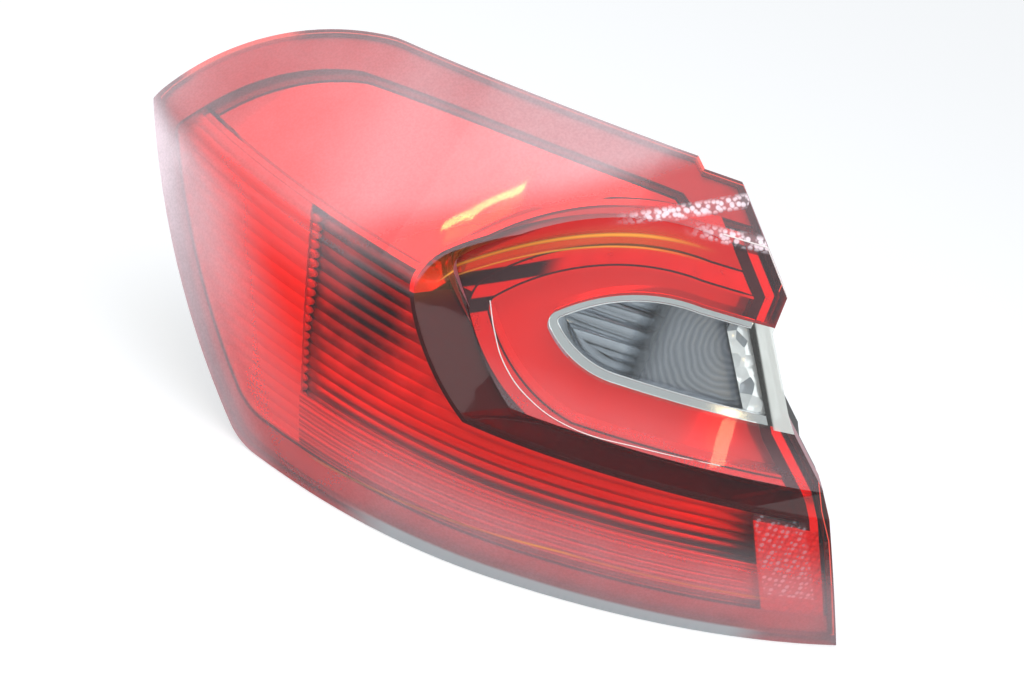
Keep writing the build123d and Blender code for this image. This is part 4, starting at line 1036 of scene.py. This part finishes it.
# The white bead is a painted highlight on the arris.
brow_wire = edge_wire("brow_arris", "red_lens", sharp=14, keep=on_brow)
edge_bead("brow_arris", brow_wire, radius=0.35 * MM, material=arris)
window_wire = edge_wire("window_rim", "leaf_bezel", sharp=40, keep=on_window_rim)
edge_bead("window_rim", window_wire, radius=0.45 * MM, material=bright_rim)

# %% [markdown]
# ### Painted shadow lines
# Two lines are dark, and both are painted shadow: the gap along the inner edge of the frame, and the line
# round the front of the tail ring. A gap between solids could show the first, but light from the plating
# would fill it, so a dark bead paints its shadow as well.

# %% Painted shadow lines
# The painted shadow of the gap is a soft dark line. The painted shadow round the ring is darker and glossy,
# with a fine glint.
shadow_gap = surface("dark shadow gap", "#2c2426", grain=4, roughness=0.5)
ring_shadow_finish = surface("glossy painted shadow", "#100c0d", grain=4, roughness=0.15)


def faces_middle(at, low, high):
    """Edges between a face that looks forward and a wall that looks to the lamp's middle."""
    front, wall = sorted((low, high), key=lambda normal: normal.y)
    return front.y < LOOKING_FORWARD and wall.x * at.x + wall.z * at.z < 0


# The dark beads are painted shadow.
frame_wire = edge_wire("frame_shadow_line", "edge_frame", sharp=40, keep=faces_middle)
edge_bead("frame_shadow_line", frame_wire, radius=0.6 * MM, material=shadow_gap)
ring_wire = edge_wire("ring_shadow_line", "tail_ring", sharp=60, keep=on_front)
edge_bead("ring_shadow_line", ring_wire, radius=0.5 * MM, material=ring_shadow_finish)

# %% [markdown]
# ## Arris of the mouth's floor
# The floor of the mouth ends in a polished arris whose highlight is painted as a thin white line. No edge of
# the solid runs just there, so it is a curve through a few places on the lens, each found by a ray from the
# front, and half sunk in the lens's skin.

# %% Mouth arris
MOUTH_ARRIS = [(-16.5, 23.5), (-9.5, 12.5), (1, 0.5), (18, -9.5), (40, -15), (74, -14.5), (112, -13)]
ARRIS_RADIUS = 0.3 * MM
ARRIS_STEPS = 24


def on_lens(across, up):
    """The place on the lens's outer skin, straight in from the front, for a place in millimetres."""
    start = Vector((across * MM, cad_box[0][1] - MM, up * MM))
    found, at, normal, face = solids["red_lens"].ray_cast(start, Vector((0, 1, 0)))
    return at


curve = bpy.data.curves.new("mouth_arris", "CURVE")
curve.dimensions = "3D"
curve.bevel_depth = ARRIS_RADIUS
curve.bevel_resolution = BEAD_ROUNDNESS
curve.resolution_u = ARRIS_STEPS
line = curve.splines.new("BEZIER")
line.bezier_points.add(len(MOUTH_ARRIS) - 1)
for point, (across, up) in zip(line.bezier_points, MOUTH_ARRIS):
    point.co = on_lens(across, up)
    point.handle_left_type = "AUTO"
    point.handle_right_type = "AUTO"
# The white bead is a painted highlight on the arris.
mouth_arris = add_to_scene("mouth_arris", curve)
bpy.ops.object.convert(target="MESH")
set_on_lamp(mouth_arris, arris)

# %% [markdown]
# ## Scalloped corner
# Where the ribs of the side end at the corner, their round ends stand in a column. A row of flattened balls
# down the corner closes the step between the two optics in the same way. The corner bends, so the row follows
# a few straight stretches, each given by its ends in millimetres.

# %% Scallops
# Plated scallops are a row of soft white beads.
CORNER = [(-77, -120, -85), (-92.5, -117.5, -35), (-99, -114.5, -5), (-105, -109.5, 15), (-108, -107, 25)]
SCALLOP_PITCH = 4.2
SCALLOP_HALF = Matrix.Diagonal((4.5 * MM, 1.8 * MM, 2.4 * MM, 1))
bm = bmesh.new()
for lower, upper in zip(CORNER, CORNER[1:]):
    rise = upper[2] - lower[2]
    for step in range(round(rise / SCALLOP_PITCH)):
        share = (step + 0.5) * SCALLOP_PITCH / rise
        middle = Vector(lower).lerp(Vector(upper), share) * MM
        ball = Matrix.Translation(middle) @ SCALLOP_HALF
        bmesh.ops.create_icosphere(bm, subdivisions=2, radius=1, matrix=ball)
mesh = bpy.data.meshes.new("corner_scallops")
bm.to_mesh(mesh)
bm.free()
SCALLOPED = {"grain": 10, "metallic": 0.6, "roughness": 0.3, "spread": 0.06, "tone": 0.03}
plated_scallops = surface("plated scallops", "#fbf8f6", **SCALLOPED)
scallops = add_to_scene("corner_scallops", mesh)
set_on_lamp(scallops, plated_scallops)
